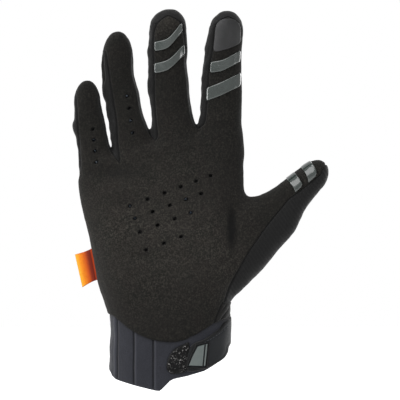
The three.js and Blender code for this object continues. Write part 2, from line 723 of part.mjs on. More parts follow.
function cuff() {
  const ring = palmBody(-cuffInset).subtract(palmBody(-cuffInset - cuffWall)).intersect(cuffRegion(0));
  const lines = embossedLines.flatMap((across) =>
    [-0.5, 0.5].map((side) => {
      const x = (across * cuffWidth) / 2 + side * groovePair;
      return prism(
        [
          [x - grooveWidth / 2, -reach],
          [x + grooveWidth / 2, -reach],
          [x + grooveWidth / 2, reach],
          [x - grooveWidth / 2, reach],
        ],
        -reach,
        0,
      );
    }),
  );
  return ring.subtract(join(lines).subtract(palmBody(-cuffInset - grooveDepth)));
}

// Elastic with slanting folds where the suede is gathered into the cuff.
function ruche() {
  const piece = palmBody(rucheDepth).add(fingerBody("thumb", rucheDepth))
    .subtract(palmBody(-wall).add(fingerBody("thumb", -wall)))
    .intersect(ruchedRegion(0));
  const [left, low] = wrist(ruchedPiece.at(-1));
  const [, high] = wrist(ruchedPiece[2]);
  const folds = Array.from({ length: rucheFolds }, (_, i) => {
    const z = low + ((high - low) * (i + 0.5)) / rucheFolds;
    return prism(
      [
        [left - rucheSlant, z],
        [left + cuffWidth, z + rucheSlant],
        [left + cuffWidth, z + rucheSlant + rucheWidth],
        [left - rucheSlant, z + rucheWidth],
      ],
      -reach,
      reach,
    );
  });
  const core = palmBody(0).add(fingerBody("thumb", 0));
  return piece.subtract(join(folds).subtract(core));
}

const cuffLayer = (low, high) => palmBody(high).subtract(palmBody(low));
const strapBase = gap - cuffInset;
const onStrap = strapBase + strapThickness + gap;
function strap() {
  const layer = cuffLayer(strapBase, strapBase + strapThickness);
  return layer.intersect(prism(strapFront.map(wrist), -reach, 0).add(prism(strapBack.map(wrist), -gap, reach)));
}

function strapFrame() {
  const hole = frameHole.map(wrist);
  const rim = prism(widened(hole, frameWidth), -reach, 0).subtract(prism(hole, -reach - 1, 1));
  return cuffLayer(onStrap, onStrap + badgeHeight).intersect(rim);
}

// The ribbon: two layers folded over at the outer edge and open towards the seam.
function label() {
  const [x, z] = palmPoint(labelPlace);
  const inside = labelThickness - labelReach;
  const section = [
    [-labelReach, -labelThickness - gap / 2],
    [-labelReach - labelThickness, 0],
    [-labelReach, labelThickness + gap / 2],
    [0, labelThickness + gap],
    [0, gap],
    [inside, gap / 2],
    [inside, -gap / 2],
    [0, -gap],
    [0, -labelThickness - gap],
  ];
  const shape = new THREE.Shape(section.map(([u, v]) => new THREE.Vector2(u, v)));
  const geometry = new THREE.ExtrudeGeometry(shape, { depth: labelHeight, bevelEnabled: false });
  geometry.translate(0, 0, -labelHeight / 2);
  geometry.rotateY(THREE.MathUtils.degToRad(-labelTilt));
  geometry.translate(x, 0, z);
  return solidOf(geometry).subtract(glove(gap));
}

const colours = {
  suede: { color: "#33312e", roughness: 0.95 },
  knit: { color: "#242424", roughness: 0.9 },
  mesh: { color: "#4a4f58", roughness: 0.8 },
  silicone: { color: "#474e4c", roughness: 0.25 },
  pad: { color: "#3f4040", roughness: 0.3 },
  neoprene: { color: "#2b2d33", roughness: 0.85 },
  elastic: { color: "#2d2d2c", roughness: 0.9 },
  webbing: { color: "#27292c", roughness: 0.8 },
  hook: { color: "#1c1c1c", roughness: 0.4 },
  badge: { color: "#616868", roughness: 0.35 },
  ribbon: { color: "#e07a1c", roughness: 0.5 },
};

const group = new THREE.Group();
function place(name, colour, solid) {
  const { vertProperties, triVerts } = solid.getMesh();
  const geometry = new THREE.BufferGeometry();
  geometry.setAttribute("position", new THREE.BufferAttribute(new Float32Array(vertProperties), 3));
  geometry.setIndex(new THREE.BufferAttribute(new Uint32Array(triVerts), 1));
  geometry.computeVertexNormals();
  const mesh = new THREE.Mesh(geometry, new THREE.MeshStandardMaterial({ metalness: 0, ...colours[colour] }));
  mesh.name = name;
  group.add(mesh);
}

place("palm_panel", "suede", hand.subtract(ruchedRegion(gap)).intersect(suedeRegion(0)).subtract(holes()));
place("palm_lining", "mesh", lining());
let rest = cloth.subtract(thumbRegion(gap));
place("thumb_back_panel", "knit", cloth.intersect(thumbRegion(0)));
for (const name of Object.keys(walls)) {
  place(name, "knit", rest.intersect(wallRegion(name, 0)));
  rest = rest.subtract(wallRegion(name, gap));
}
place("back_panel", "knit", rest);
for (const name of Object.keys(barRows)) {
  place(name, "silicone", grip(name));
}
place("touch_patch", "pad", touchPatch());
place("cuff", "neoprene", cuff());
place("wrist_gather", "elastic", ruche());
place("wrist_strap", "webbing", strap());
place(
  "strap_hook_tip",
  "hook",
  cuffLayer(strapBase, strapBase + tipThickness).intersect(prism(hookTip.map(wrist), -reach, 0)),
);
const raised = (outline) => cuffLayer(onStrap, onStrap + badgeHeight).intersect(prism(outline.map(wrist), -reach, 0));
place("strap_badge_frame", "hook", strapFrame());
place("strap_badge", "badge", raised(badgeEdge));
place("strap_badge_stripe", "badge", raised(stripeEdge));
place("side_label", "ribbon", label());

export default group;
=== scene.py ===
import math
import bpy
import numpy as np
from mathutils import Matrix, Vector
from mathutils.bvhtree import BVHTree


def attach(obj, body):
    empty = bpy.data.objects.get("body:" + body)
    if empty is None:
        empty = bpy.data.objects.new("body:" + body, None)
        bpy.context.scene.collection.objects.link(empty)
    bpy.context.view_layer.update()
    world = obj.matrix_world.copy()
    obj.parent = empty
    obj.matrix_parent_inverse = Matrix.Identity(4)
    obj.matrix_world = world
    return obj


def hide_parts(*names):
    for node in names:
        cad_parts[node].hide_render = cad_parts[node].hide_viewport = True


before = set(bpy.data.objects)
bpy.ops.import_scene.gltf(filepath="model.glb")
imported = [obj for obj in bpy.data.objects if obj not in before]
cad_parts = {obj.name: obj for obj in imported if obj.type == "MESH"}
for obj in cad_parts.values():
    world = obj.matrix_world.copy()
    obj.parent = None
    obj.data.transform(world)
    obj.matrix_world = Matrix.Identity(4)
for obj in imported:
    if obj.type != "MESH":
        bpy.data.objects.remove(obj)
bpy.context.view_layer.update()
mm = 0.001
print("frame loaded")

# The glove's own sizes in millimetres, the same as its solids have
glove = {
    "palmWidth": 102.0, "palmHeight": 111.6, "palmDepth": 37.0,
    "cuffWidth": 74.4, "cuffHeight": 46.7, "cuffDepth": 54.0,
    "grain": 1.12,  # size of the triangles that every panel is cut from
    "palmBlend": 6.0,  # how softly the fingers grow out of the palm
    "thumbBlend": 10.0,
    "wristBlend": 2.5,  # the thumb meets the cuff in a sharper corner
    "capHeight": 9.0,  # rounding of the palm above its last rung
    "wall": 1.4, "cuffWall": 2.4,
    "cuffSink": 0.8,  # the cuff lies this far under the suede
}
fingers = {
    "little": {"length": 60.6, "width": 18.0, "depth": 16.5, "curl": 7.0, "across": -0.912, "up": 0.753,
               "lean": 5.6, "tip": 0.80, "suedeTop": 2.0},
    "ring": {"length": 86.3, "width": 21.0, "depth": 19.0, "curl": 7.0, "across": -0.45, "up": 0.797,
             "lean": 7.6, "tip": 0.84, "suedeTop": 2.0},
    "middle": {"length": 90.0, "width": 24.2, "depth": 20.5, "curl": 7.0, "across": 0.024, "up": 0.881,
               "lean": 2.0, "tip": 0.87, "suedeTop": 0.96},
    "index": {"length": 86.3, "width": 23.8, "depth": 20.5, "curl": 7.0, "across": 0.595, "up": 0.909,
              "lean": -2.9, "tip": 0.855, "suedeTop": 0.97},
    "thumb": {"length": 84.0, "width": 22.4, "depth": 23.0, "curl": 9.0, "across": 0.632, "up": 0.342,
              "lean": -48.2, "tip": 0.86, "suedeTop": 2.0},
}

# Rungs of the wrist: up, left, right, front, back, as shares of the cuff's sizes
cuffRungs = [
    (-0.14, 1.03, 0.98, 0.49, 0.49), (0.25, 1.04, 0.98, 0.49, 0.49),
    (0.60, 1.035, 0.985, 0.48, 0.49), (0.92, 1.00, 1.00, 0.47, 0.49),
]
# Rungs of the palm: height on the left and right, then left, right, front and back
palmRungs = [
    (0.05, 0.05, 0.79, 0.72, 0.64, 0.66), (0.14, 0.13, 0.86, 0.77, 0.64, 0.60),
    (0.24, 0.25, 0.91, 0.81, 0.62, 0.55), (0.365, 0.40, 0.955, 0.86, 0.57, 0.52),
    (0.49, 0.54, 1.02, 0.885, 0.52, 0.50), (0.59, 0.665, 1.08, 0.89, 0.49, 0.47),
    (0.68, 0.80, 1.115, 0.885, 0.45, 0.43), (0.745, 0.91, 1.10, 0.875, 0.38, 0.37),
    (0.785, 0.985, 1.05, 0.84, 0.30, 0.30),
]
# Rungs of the fingers: share of the length, left and right sides, then the suede's edges on the left and
# right. The thumb's suede ends on the right at thumbSeam.
fingerRungs = {
    "little": [
        (0.00, 0.95, 1.55, 1.30, 2.00), (0.12, 0.98, 1.38, 0.93, 1.85), (0.23, 1.05, 1.36, 0.90, 1.36),
        (0.31, 1.00, 1.20, 0.87, 1.16), (0.41, 1.06, 1.12, 0.83, 1.05), (0.475, 1.17, 1.09, 0.81, 1.01),
        (0.555, 1.25, 1.07, 0.79, 1.00), (0.64, 1.07, 0.96, 0.78, 0.88), (0.70, 0.95, 0.93, 0.76, 0.84),
        (0.80, 0.92, 0.89, 0.75, 0.82), (0.885, 0.86, 0.86, 0.74, 0.95), (0.93, 0.78, 0.86, 1.1, 1.1),
        (1.0, 0.68, 0.86, 1.4, 1.4),
    ],
    "ring": [
        (0.00, 1.20, 1.55, 1.00, 1.90), (0.075, 1.15, 1.60, 0.66, 1.90), (0.145, 0.98, 1.48, 0.70, 1.90),
        (0.215, 1.09, 1.35, 0.68, 1.31), (0.30, 1.09, 1.18, 0.60, 1.12), (0.39, 1.08, 0.99, 0.57, 0.94),
        (0.45, 1.09, 0.95, 0.58, 0.90), (0.55, 1.20, 0.95, 0.60, 0.90), (0.625, 1.20, 0.83, 0.62, 0.80),
        (0.68, 1.09, 0.77, 0.63, 0.75), (0.75, 1.11, 0.83, 0.62, 0.79), (0.81, 1.03, 0.90, 0.64, 0.88),
        (0.885, 0.82, 0.89, 0.67, 0.98), (0.94, 0.74, 0.88, 1.3, 1.3), (1.0, 0.62, 0.88, 1.4, 1.4),
    ],
    "middle": [
        (0.00, 1.23, 1.50, 1.00, 1.90), (0.105, 1.12, 1.50, 0.72, 1.90), (0.185, 1.07, 1.33, 0.73, 1.28),
        (0.24, 1.02, 1.15, 0.77, 1.08), (0.30, 0.96, 1.09, 0.79, 1.03), (0.355, 1.05, 1.01, 0.80, 0.98),
        (0.435, 1.14, 0.98, 0.80, 0.94), (0.53, 1.12, 0.97, 0.78, 0.92), (0.625, 1.05, 0.87, 0.76, 0.83),
        (0.71, 1.12, 0.99, 0.77, 0.90), (0.795, 0.97, 0.94, 0.76, 0.84), (0.85, 0.95, 0.96, 0.70, 0.80),
        (0.885, 0.94, 0.95, 0.60, 0.76), (0.915, 0.91, 0.94, 0.45, 0.62), (0.935, 0.88, 0.93, 0.30, 0.42),
        (0.95, 0.86, 0.92, 0.0, 0.1), (1.0, 0.80, 0.90, -0.9, -0.9),
    ],
    "index": [
        (0.00, 1.35, 1.17, 1.90, 1.50), (0.085, 1.30, 1.15, 1.90, 1.50), (0.17, 1.20, 1.09, 0.83, 1.50),
        (0.245, 1.10, 1.07, 0.80, 1.50), (0.33, 1.10, 1.05, 0.78, 1.50), (0.445, 1.11, 1.02, 0.75, 1.50),
        (0.53, 1.09, 0.95, 0.76, 1.50), (0.62, 1.06, 0.92, 0.71, 1.50), (0.705, 1.03, 0.89, 0.62, 1.50),
        (0.79, 0.96, 0.92, 0.58, 0.84), (0.86, 0.86, 0.92, 0.60, 0.82), (0.90, 0.82, 0.90, 0.48, 0.72),
        (0.93, 0.79, 0.88, 0.32, 0.55), (0.95, 0.76, 0.86, 0.04, 0.26), (0.965, 0.74, 0.85, -0.4, -0.3),
        (1.0, 0.70, 0.82, -0.9, -0.9),
    ],
    "thumb": [
        (-0.19, 1.20, 2.26, 3.0), (-0.02, 1.40, 2.28, 3.0), (0.10, 1.45, 2.21, 3.0),
        (0.22, 1.42, 2.12, 3.0), (0.33, 1.30, 1.95, 3.0), (0.42, 1.18, 1.89, 3.0),
        (0.50, 0.92, 1.80, 3.0), (0.56, 0.80, 1.62, 3.0), (0.62, 0.74, 1.43, 3.0),
        (0.68, 0.69, 1.23, 3.0), (0.75, 0.65, 1.12, 3.0), (0.82, 0.61, 1.06, 3.0),
        (0.89, 0.57, 1.00, 3.0), (0.94, 0.56, 0.93, 3.0), (1.0, 0.58, 0.76, 3.0),
    ],
}
thumbDepths = [(-0.19, 0.62), (-0.02, 0.66), (0.10, 0.66), (0.22, 0.62), (0.33, 0.55), (0.42, 0.48),
               (0.50, 0.45), (1.0, 0.42)]
thumbBackEdge = [(-0.3, -1.6), (-0.19, -1.55), (-0.02, -0.8), (0.10, -0.2), (0.22, 0.4), (0.33, 1.0),
                 (0.42, 1.8), (1.1, 1.8)]

# Dents of the palm: across and up it, reach across and up in millimetres, depth. Below zero is a swelling.
palmDents = [
    (0.735, 0.50, 4.2, 15, 4.2),  # crease beside the ball of the thumb
    (-0.10, 0.46, 26, 20, 2.4),  # hollow of the palm
    (-0.60, 0.30, 20, 16, -1.6),  # heel below the little finger
    (0.45, 0.18, 16, 14, -1.4),  # ball of the thumb
    (-0.62, 0.80, 22, 4, 1.5),  # folds below the fingers
    (0.12, 0.965, 17, 3.5, 1.0),
    (-0.45, 0.62, 26, 4, 0.7),
    (-0.25, 0.315, 34, 4, 1.0),  # folds above the wrist
    (0.05, 0.10, 30, 5, 0.6),
]


def palmPoint(across, up):
    return across * glove["palmWidth"] / 2, glove["cuffHeight"] + up * glove["palmHeight"]


def wristPoint(across, up):
    return across * glove["cuffWidth"] / 2, up * glove["cuffHeight"]


def smoothColumn(rows, column, samples=400, soft=0.45):
    # one column of a table, sampled finely and rounded off between its rows
    at = np.array([row[0] for row in rows], float)
    value = np.array([row[column] for row in rows], float)
    fine = np.linspace(at[0], at[-1], samples)
    line = np.interp(fine, at, value)
    reach = max(2, int(samples * soft / len(rows)))
    for _ in range(2):
        longer = np.concatenate([np.full(reach, line[0]), line, np.full(reach, line[-1])])
        total = np.cumsum(np.concatenate([[0.0], longer]))
        line = (total[2 * reach + 1:] - total[:-2 * reach - 1]) / (2 * reach + 1)
    return fine, line


def sampled(rows, column, at):
    fine, line = smoothColumn(rows, column)
    return np.interp(at, fine, line)


def softMin(a, b, reach):
    h = np.maximum(reach - np.abs(a - b), 0.0) / reach
    return np.minimum(a, b) - h * h * reach / 4


def smoothStep(value, low, high):
    t = np.clip((value - low) / (high - low), 0, 1)
    return t * t * (3 - 2 * t)


def ripple(points, wave, seed, count=7):
    # a smooth uneven field between about -1 and 1, the same each run
    draw = np.random.default_rng(seed)
    total = np.zeros(len(points))
    for _ in range(count):
        way = draw.normal(size=3)
        way /= np.linalg.norm(way)
        total += np.sin(points @ way * (2 * np.pi / (wave * draw.uniform(0.7, 1.5))) + draw.uniform(0, 6.3))
    return total / math.sqrt(count)


def palmTable():
    rows = []
    for up, left, right, front, back in cuffRungs:
        rows.append((*wristPoint(-left, up), *wristPoint(right, up), front * glove["cuffDepth"],
                     back * glove["cuffDepth"]))
    for leftUp, rightUp, left, right, front, back in palmRungs:
        rows.append((*palmPoint(-left, leftUp), *palmPoint(right, rightUp), front * glove["palmDepth"],
                     back * glove["palmDepth"]))
    numbered = [(i, *row) for i, row in enumerate(rows)]
    return [smoothColumn(numbered, column, 500)[1] for column in range(1, 7)]


def dentAt(x, z):
    total = np.zeros(np.broadcast(x, z).shape)
    for across, up, wide, tall, depth in palmDents:
        cx, cz = palmPoint(across, up)
        total = total + depth * np.exp(-((x - cx) / wide) ** 2 - ((z - cz) / tall) ** 2)
    return total


def palmSection(xs, zs):
    # over a grid of places in the palm's plane: its middle, half width, depths, and how far past the last
    # rung
    leftX, leftZ, rightX, rightZ, front, back = palmTable()
    found = {key: np.zeros((len(xs), len(zs))) for key in ("middle", "half", "front", "back", "past")}
    steps = np.arange(len(leftX))
    for i, x in enumerate(xs):
        share = np.clip((x - leftX) / (rightX - leftX), -0.25, 1.25)
        level = np.maximum.accumulate(leftZ + (rightZ - leftZ) * share)
        at = np.interp(zs, level, steps)
        found["middle"][i] = np.interp(at, steps, (leftX + rightX) / 2)
        found["half"][i] = np.interp(at, steps, (rightX - leftX) / 2)
        found["front"][i] = np.interp(at, steps, front)
        found["back"][i] = np.interp(at, steps, back)
        found["past"][i] = np.maximum(zs - level[-1], 0)
    return {key: value[:, None, :] for key, value in found.items()}


def fingerPlace(name, x, y, z):
    # a point in a finger's own frame: share along it, then millimetres across it and behind its middle
    finger = fingers[name]
    rootX, rootZ = palmPoint(finger["across"], finger["up"])
    lean = math.radians(finger["lean"])
    dx, dz = x - rootX, z - rootZ
    along = (-math.sin(lean) * dx + math.cos(lean) * dz) / finger["length"]
    across = math.cos(lean) * dx + math.sin(lean) * dz
    return along, across, y + finger["curl"] * np.maximum(along, 0) ** 2


def fingerSquareness(name, x, y, z):
    finger = fingers[name]
    rows = fingerRungs[name]
    along, across, behind = fingerPlace(name, x, y, z)
    half = finger["width"] / 2
    left = sampled(rows, 1, along) * half
    right = sampled(rows, 2, along) * half
    deep = finger["depth"] * (sampled(thumbDepths, 1, along) if name == "thumb" else 0.5)
    end = np.maximum(along - finger["tip"], 0) / (1 - finger["tip"])
    low = np.maximum(rows[0][0] - along, 0) / 0.12
    n = 2.25
    side = np.abs((across - (right - left) / 2) / ((left + right) / 2))
    return (side ** n + np.abs(behind / deep) ** n + end ** n + low ** n) ** (1 / n)


def unitDistance(squareness, step):
    gx, gy, gz = np.gradient(squareness, step)
    steep = np.sqrt(gx * gx + gy * gy + gz * gz)
    return ((squareness - 1.0) / np.maximum(steep, 0.012)).astype(np.float32)


def buildField():
    step = glove["grain"]
    xs = np.arange(-66, 104, step)
    ys = np.arange(-34, 34, step)
    zs = np.arange(-9, 241, step)
    section = palmSection(xs, zs)
    X, Y, Z = np.meshgrid(xs, ys, zs, indexing="ij", sparse=True)
    dent = dentAt(xs[:, None], zs[None, :])[:, None, :]
    deep = np.where(Y < 0, section["front"] - dent, section["back"])
    n = 2.5
    across = np.abs((X - section["middle"]) / section["half"])
    cap = section["past"] / glove["capHeight"]
    palm = unitDistance((across ** n + np.abs(Y / deep) ** n + cap ** n) ** (1 / n), step)
    row = None
    for name in ("little", "ring", "middle", "index"):
        one = unitDistance(fingerSquareness(name, X, Y, Z), step)
        row = one if row is None else softMin(row, one, 1.2)
    thumb = unitDistance(fingerSquareness("thumb", X, Y, Z), step)
    blend = glove["wristBlend"] + (glove["thumbBlend"] - glove["wristBlend"]) * smoothStep(Z, 62, 84)
    whole = softMin(softMin(palm, row, glove["palmBlend"]), thumb, blend)
    return whole, np.array([xs[0], ys[0], zs[0]]), step


def surfaceOf(field, origin, step):
    # one vertex in every cell that the surface passes through, one face round every grid edge that it cuts
    inside = field < 0
    nx, ny, nz = field.shape
    corners = [(a, b, c) for a in (0, 1) for b in (0, 1) for c in (0, 1)]
    count = sum(inside[a:nx - 1 + a, b:ny - 1 + b, c:nz - 1 + c].astype(np.int8) for a, b, c in corners)
    active = (count > 0) & (count < 8)
    number = np.full(active.shape, -1, np.int64)
    number[active] = np.arange(active.sum())
    cells = np.argwhere(active)
    total = np.zeros((len(cells), 3))
    hits = np.zeros(len(cells))
    for corner in corners:
        for axis in range(3):
            if corner[axis]:
                continue
            other = list(corner)
            other[axis] = 1
            low = field[cells[:, 0] + corner[0], cells[:, 1] + corner[1], cells[:, 2] + corner[2]]
            high = field[cells[:, 0] + other[0], cells[:, 1] + other[1], cells[:, 2] + other[2]]
            cut = (low < 0) != (high < 0)
            place = np.tile(np.array(corner, float), (len(cells), 1))
            place[cut, axis] = low[cut] / (low[cut] - high[cut])
            total[cut] += place[cut]
            hits[cut] += 1
    points = (cells + total / hits[:, None]) * step + origin
    quads = []
    for axis in range(3):
        u, v = [(1, 2), (2, 0), (0, 1)][axis]
        lower = np.take(inside, np.arange(field.shape[axis] - 1), axis)
        upper = np.take(inside, np.arange(1, field.shape[axis]), axis)
        where = np.argwhere(lower != upper)
        where = where[(where[:, u] > 0) & (where[:, v] > 0)]
        facing = lower[where[:, 0], where[:, 1], where[:, 2]]
        ring = []
        for du, dv in ((-1, -1), (0, -1), (0, 0), (-1, 0)):
            cell = where.copy()
            cell[:, u] += du
            cell[:, v] += dv
            ring.append(number[cell[:, 0], cell[:, 1], cell[:, 2]])
        quad = np.stack(ring, 1)
        quad[~facing] = quad[~facing][:, ::-1]
        quads.append(quad)
    return points, np.concatenate(quads)


def edgesOf(faces):
    pairs = np.concatenate([faces[:, [i, (i + 1) % faces.shape[1]]] for i in range(faces.shape[1])])
    return np.unique(np.sort(pairs, 1), axis=0)


def relaxed(points, edges, times, share=0.5):
    for _ in range(times):
        total = np.zeros_like(points)
        hits = np.bincount(edges.ravel(), minlength=len(points))
        for a, b in ((0, 1), (1, 0)):
            for axis in range(3):
                total[:, axis] += np.bincount(edges[:, a], points[edges[:, b], axis], len(points))
        points = points + share * (total / np.maximum(hits, 1)[:, None] - points)
    return points


def trianglesOf(quads, points):
    # each face is split along its shorter diagonal
    short = np.linalg.norm(points[quads[:, 0]] - points[quads[:, 2]], axis=1)
    other = np.linalg.norm(points[quads[:, 1]] - points[quads[:, 3]], axis=1)
    first = (short <= other)[:, None]
    one = np.where(first, quads[:, [0, 1, 2]], quads[:, [0, 1, 3]])
    two = np.where(first, quads[:, [0, 2, 3]], quads[:, [1, 2, 3]])
    return np.concatenate([one, two])


def normalsOf(points, tris):
    a, b, c = (points[tris[:, i]] for i in range(3))
    face = np.cross(b - a, c - a)
    normal = np.zeros_like(points)
    for i in range(3):
        for axis in range(3):
            normal[:, axis] += np.bincount(tris[:, i], face[:, axis], len(points))
    return normal / np.maximum(np.linalg.norm(normal, axis=1), 1e-12)[:, None]


def kept(points, tris, normal, wanted):
    # only the wanted triangles, and the vertices that they use
    tris = tris[wanted]
    used, back = np.unique(tris, return_inverse=True)
    return points[used], back.reshape(tris.shape), normal[used]


def refined(points, tris, normal, near, longest):
    # splits the edges that touch the marked vertices and are too long, bending the new points with the
    # surface
    pairs = np.concatenate([tris[:, [0, 1]], tris[:, [1, 2]], tris[:, [2, 0]]])
    edges, which = np.unique(np.sort(pairs, 1), axis=0, return_inverse=True)
    which = which.reshape(3, len(tris))
    a, b = edges[:, 0], edges[:, 1]
    span = points[b] - points[a]
    split = (near[a] | near[b]) & (np.linalg.norm(span, axis=1) > longest)
    middle = np.full(len(edges), -1)
    middle[split] = len(points) + np.arange(split.sum())
    bend = normal[a] + normal[b]
    bend /= np.maximum(np.linalg.norm(bend, axis=1), 1e-9)[:, None]
    swell = np.einsum("ij,ij->i", span, normal[b] - normal[a]) / 8
    made = (points[a] + points[b]) / 2 + bend * np.clip(swell, -0.1, 0.1)[:, None]
    points = np.concatenate([points, made[split]])
    normal = np.concatenate([normal, bend[split]])
    m = middle[which]
    flags = m >= 0
    code = flags.sum(0)
    out = [tris[code == 0]]
    for turn in range(3):
        p, q, r = (tris[:, (turn + k) % 3] for k in range(3))
        pq, qr, rp = (m[(turn + k) % 3] for k in range(3))
        one = (code == 1) & (pq >= 0)
        out += [np.stack([p[one], pq[one], r[one]], 1), np.stack([pq[one], q[one], r[one]], 1)]
        two = (code == 2) & (pq < 0)
        out += [np.stack([p[two], q[two], qr[two]], 1), np.stack([p[two], qr[two], rp[two]], 1),
                np.stack([rp[two], qr[two], r[two]], 1)]
    full = code == 3
    p, q, r = (tris[full, k] for k in range(3))
    pq, qr, rp = (m[k][full] for k in range(3))
    out += [np.stack([p, pq, rp], 1), np.stack([pq, q, qr], 1), np.stack([rp, qr, r], 1),
            np.stack([pq, qr, rp], 1)]
    return points, np.concatenate(out), normal


def cutAtZero(points, tris, value, normal):
    # keeps what lies above zero, cut exactly on the line
    value = np.where(np.abs(value) < 0.01, 0.01, value)
    whole = (value[tris] > 0).all(1)
    mixed = tris[(value[tris] > 0).any(1) & ~whole]
    edges = np.concatenate([mixed[:, [0, 1]], mixed[:, [1, 2]], mixed[:, [2, 0]]])
    edges = np.unique(np.sort(edges, 1), axis=0)
    edges = edges[(value[edges[:, 0]] > 0) != (value[edges[:, 1]] > 0)]
    a, b = edges[:, 0], edges[:, 1]
    t = (value[a] / (value[a] - value[b]))[:, None]
    key = a * len(points) + b

    def crossing(p, q):
        return len(points) + np.searchsorted(key, np.minimum(p, q) * len(points) + np.maximum(p, q))

    out = [tris[whole]]
    above = value[mixed] > 0
    for turn in range(3):
        p, q, r = (mixed[:, (turn + k) % 3] for k in range(3))
        up, uq, ur = (above[:, (turn + k) % 3] for k in range(3))
        one = up & ~uq & ~ur
        out.append(np.stack([p[one], crossing(p[one], q[one]), crossing(p[one], r[one])], 1))
        two = up & uq & ~ur
        qr, pr = crossing(q[two], r[two]), crossing(p[two], r[two])
        out += [np.stack([p[two], q[two], qr], 1), np.stack([p[two], qr, pr], 1)]
    tris = np.concatenate(out)
    made = points[a] + (points[b] - points[a]) * t
    madeNormal = normal[a] + (normal[b] - normal[a]) * t
    points = np.concatenate([points, made])
    normal = np.concatenate([normal, madeNormal])
    value = np.concatenate([value, np.zeros(len(t))])
    used, back = np.unique(tris, return_inverse=True)
    return points[used], back.reshape(tris.shape), value[used], normal[used]


def closedWall(points, tris, normal, outer, inner):
    # a closed sheet between two offsets from a surface, with a rim round every border
    pairs = np.concatenate([tris[:, [0, 1]], tris[:, [1, 2]], tris[:, [2, 0]]])
    size = len(points)
    border = pairs[~np.isin(pairs[:, 0] * size + pairs[:, 1], pairs[:, 1] * size + pairs[:, 0])]
    rim = np.concatenate([
        np.stack([border[:, 1], border[:, 0], border[:, 0] + size], 1),
        np.stack([border[:, 1], border[:, 0] + size, border[:, 1] + size], 1),
    ])
    top = points + normal * np.broadcast_to(outer, size)[:, None]
    low = points + normal * np.broadcast_to(inner, size)[:, None]
    return np.concatenate([top, low]), np.concatenate([tris, tris[:, ::-1] + size, rim])


def meshObject(name, points, faces, material, smooth=True, **columns):
    mesh = bpy.data.meshes.new(name)
    mesh.vertices.add(len(points))
    mesh.vertices.foreach_set("co", (np.asarray(points) * mm).astype(np.float32).ravel())
    faces = np.asarray(faces)
    size = faces.shape[1]
    mesh.loops.add(faces.size)
    mesh.loops.foreach_set("vertex_index", faces.astype(np.int32).ravel())
    mesh.polygons.add(len(faces))
    mesh.polygons.foreach_set("loop_start", np.arange(0, faces.size, size, dtype=np.int32))
    mesh.polygons.foreach_set("loop_total", np.full(len(faces), size, np.int32))
    mesh.polygons.foreach_set("use_smooth", np.full(len(faces), smooth))
    mesh.update(calc_edges=True)
    for key, value in columns.items():
        mesh.attributes.new(key, "FLOAT", "POINT").data.foreach_set("value", np.asarray(value, np.float32))
    mesh.validate()
    mesh.materials.append(material)
    made = bpy.data.objects.new(name, mesh)
    bpy.context.scene.collection.objects.link(made)
    return made


def dress(piece, slot, *nodes):
    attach(piece, "root")
    if nodes:
        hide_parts(*nodes)
    return piece


# The studio
studio = {
    "world": 1.0, "floorDrop": 60.0, "floorSize": 4000.0,
    "palette": 0.25,  # how much darker than they look the colours are
    "lamps": [
        # name, place, size across and up, watts
        ("key", (-0.75, -1.1, 0.95), (1.2, 1.2), 20),
        ("leftStrip", (-1.1, -0.42, 0.25), (0.2, 1.1), 12),
        ("rightStrip", (1.0, -0.3, 0.0), (0.5, 0.07), 1.2),
        ("top", (0.0, -0.35, 1.25), (1.2, 0.35), 8),
        ("rear", (0.8, 1.2, 0.35), (0.9, 0.9), 12),
    ],
}

# Materials. Each is worked out from places on the glove in millimetres.
def linear(red, green, blue):
    return tuple(c / 255 / 12.92 if c <= 10 else ((c / 255 + 0.055) / 1.055) ** 2.4
                 for c in (red, green, blue))


def tone(*rgb):
    # colours are written as they look in the studio's light, which is brighter than one
    return (*[studio["palette"] * value for value in linear(*rgb)], 1.0)


def add(tree, kind, inputs=None, **settings):
    made = tree.nodes.new(kind)
    for key, value in settings.items():
        setattr(made, key, value)
    for key, value in (inputs or {}).items():
        if isinstance(value, bpy.types.NodeSocket):
            tree.links.new(value, made.inputs[key])
        else:
            made.inputs[key].default_value = value
    return made


def sums(tree, operation, a, b=0.0, c=0.0):
    return add(tree, "ShaderNodeMath", {0: a, 1: b, 2: c}, operation=operation).outputs[0]


def mixed(tree, share, a, b):
    made = add(tree, "ShaderNodeMix", {0: share, 6: a, 7: b}, data_type="RGBA")
    return made.outputs[2]


def noise(tree, where, size, detail=2.0, rough=0.5, warp=0.0):
    inputs = {"Vector": where, "Scale": 1 / size, "Detail": detail, "Roughness": rough, "Distortion": warp}
    return add(tree, "ShaderNodeTexNoise", inputs).outputs["Fac"]


def ramp(tree, value, stops):
    made = add(tree, "ShaderNodeValToRGB", {"Fac": value})
    elements = made.color_ramp.elements
    for element, (at, colour) in ((elements[0], stops[0]), (elements[1], stops[-1])):
        element.position = at
        element.color = colour
    for at, colour in stops[1:-1]:
        elements.new(at).color = colour
    return made.outputs["Color"]


def spread(tree, value, low, high, to0=0.0, to1=1.0):
    inputs = {"Value": value, "From Min": low, "From Max": high, "To Min": to0, "To Max": to1}
    return add(tree, "ShaderNodeMapRange", inputs).outputs["Result"]


def column(tree, name):
    return add(tree, "ShaderNodeAttribute", attribute_name=name).outputs["Fac"]


def shaderOf(name, roughness, specular, sheen=0.0, sheenRoughness=0.5, coat=0.0, coatRoughness=0.1):
    material = bpy.data.materials.new(name)
    material.use_nodes = True
    tree = material.node_tree
    shader = tree.nodes["Principled BSDF"]
    shader.inputs["Roughness"].default_value = roughness
    shader.inputs["Specular IOR Level"].default_value = specular
    shader.inputs["Sheen Weight"].default_value = sheen
    shader.inputs["Sheen Roughness"].default_value = sheenRoughness
    shader.inputs["Coat Weight"].default_value = coat
    shader.inputs["Coat Roughness"].default_value = coatRoughness
    place = add(tree, "ShaderNodeTexCoord").outputs["Object"]
    where = add(tree, "ShaderNodeVectorMath", {0: place, "Scale": 1 / mm}, operation="SCALE").outputs[0]
    return material, tree, shader, where


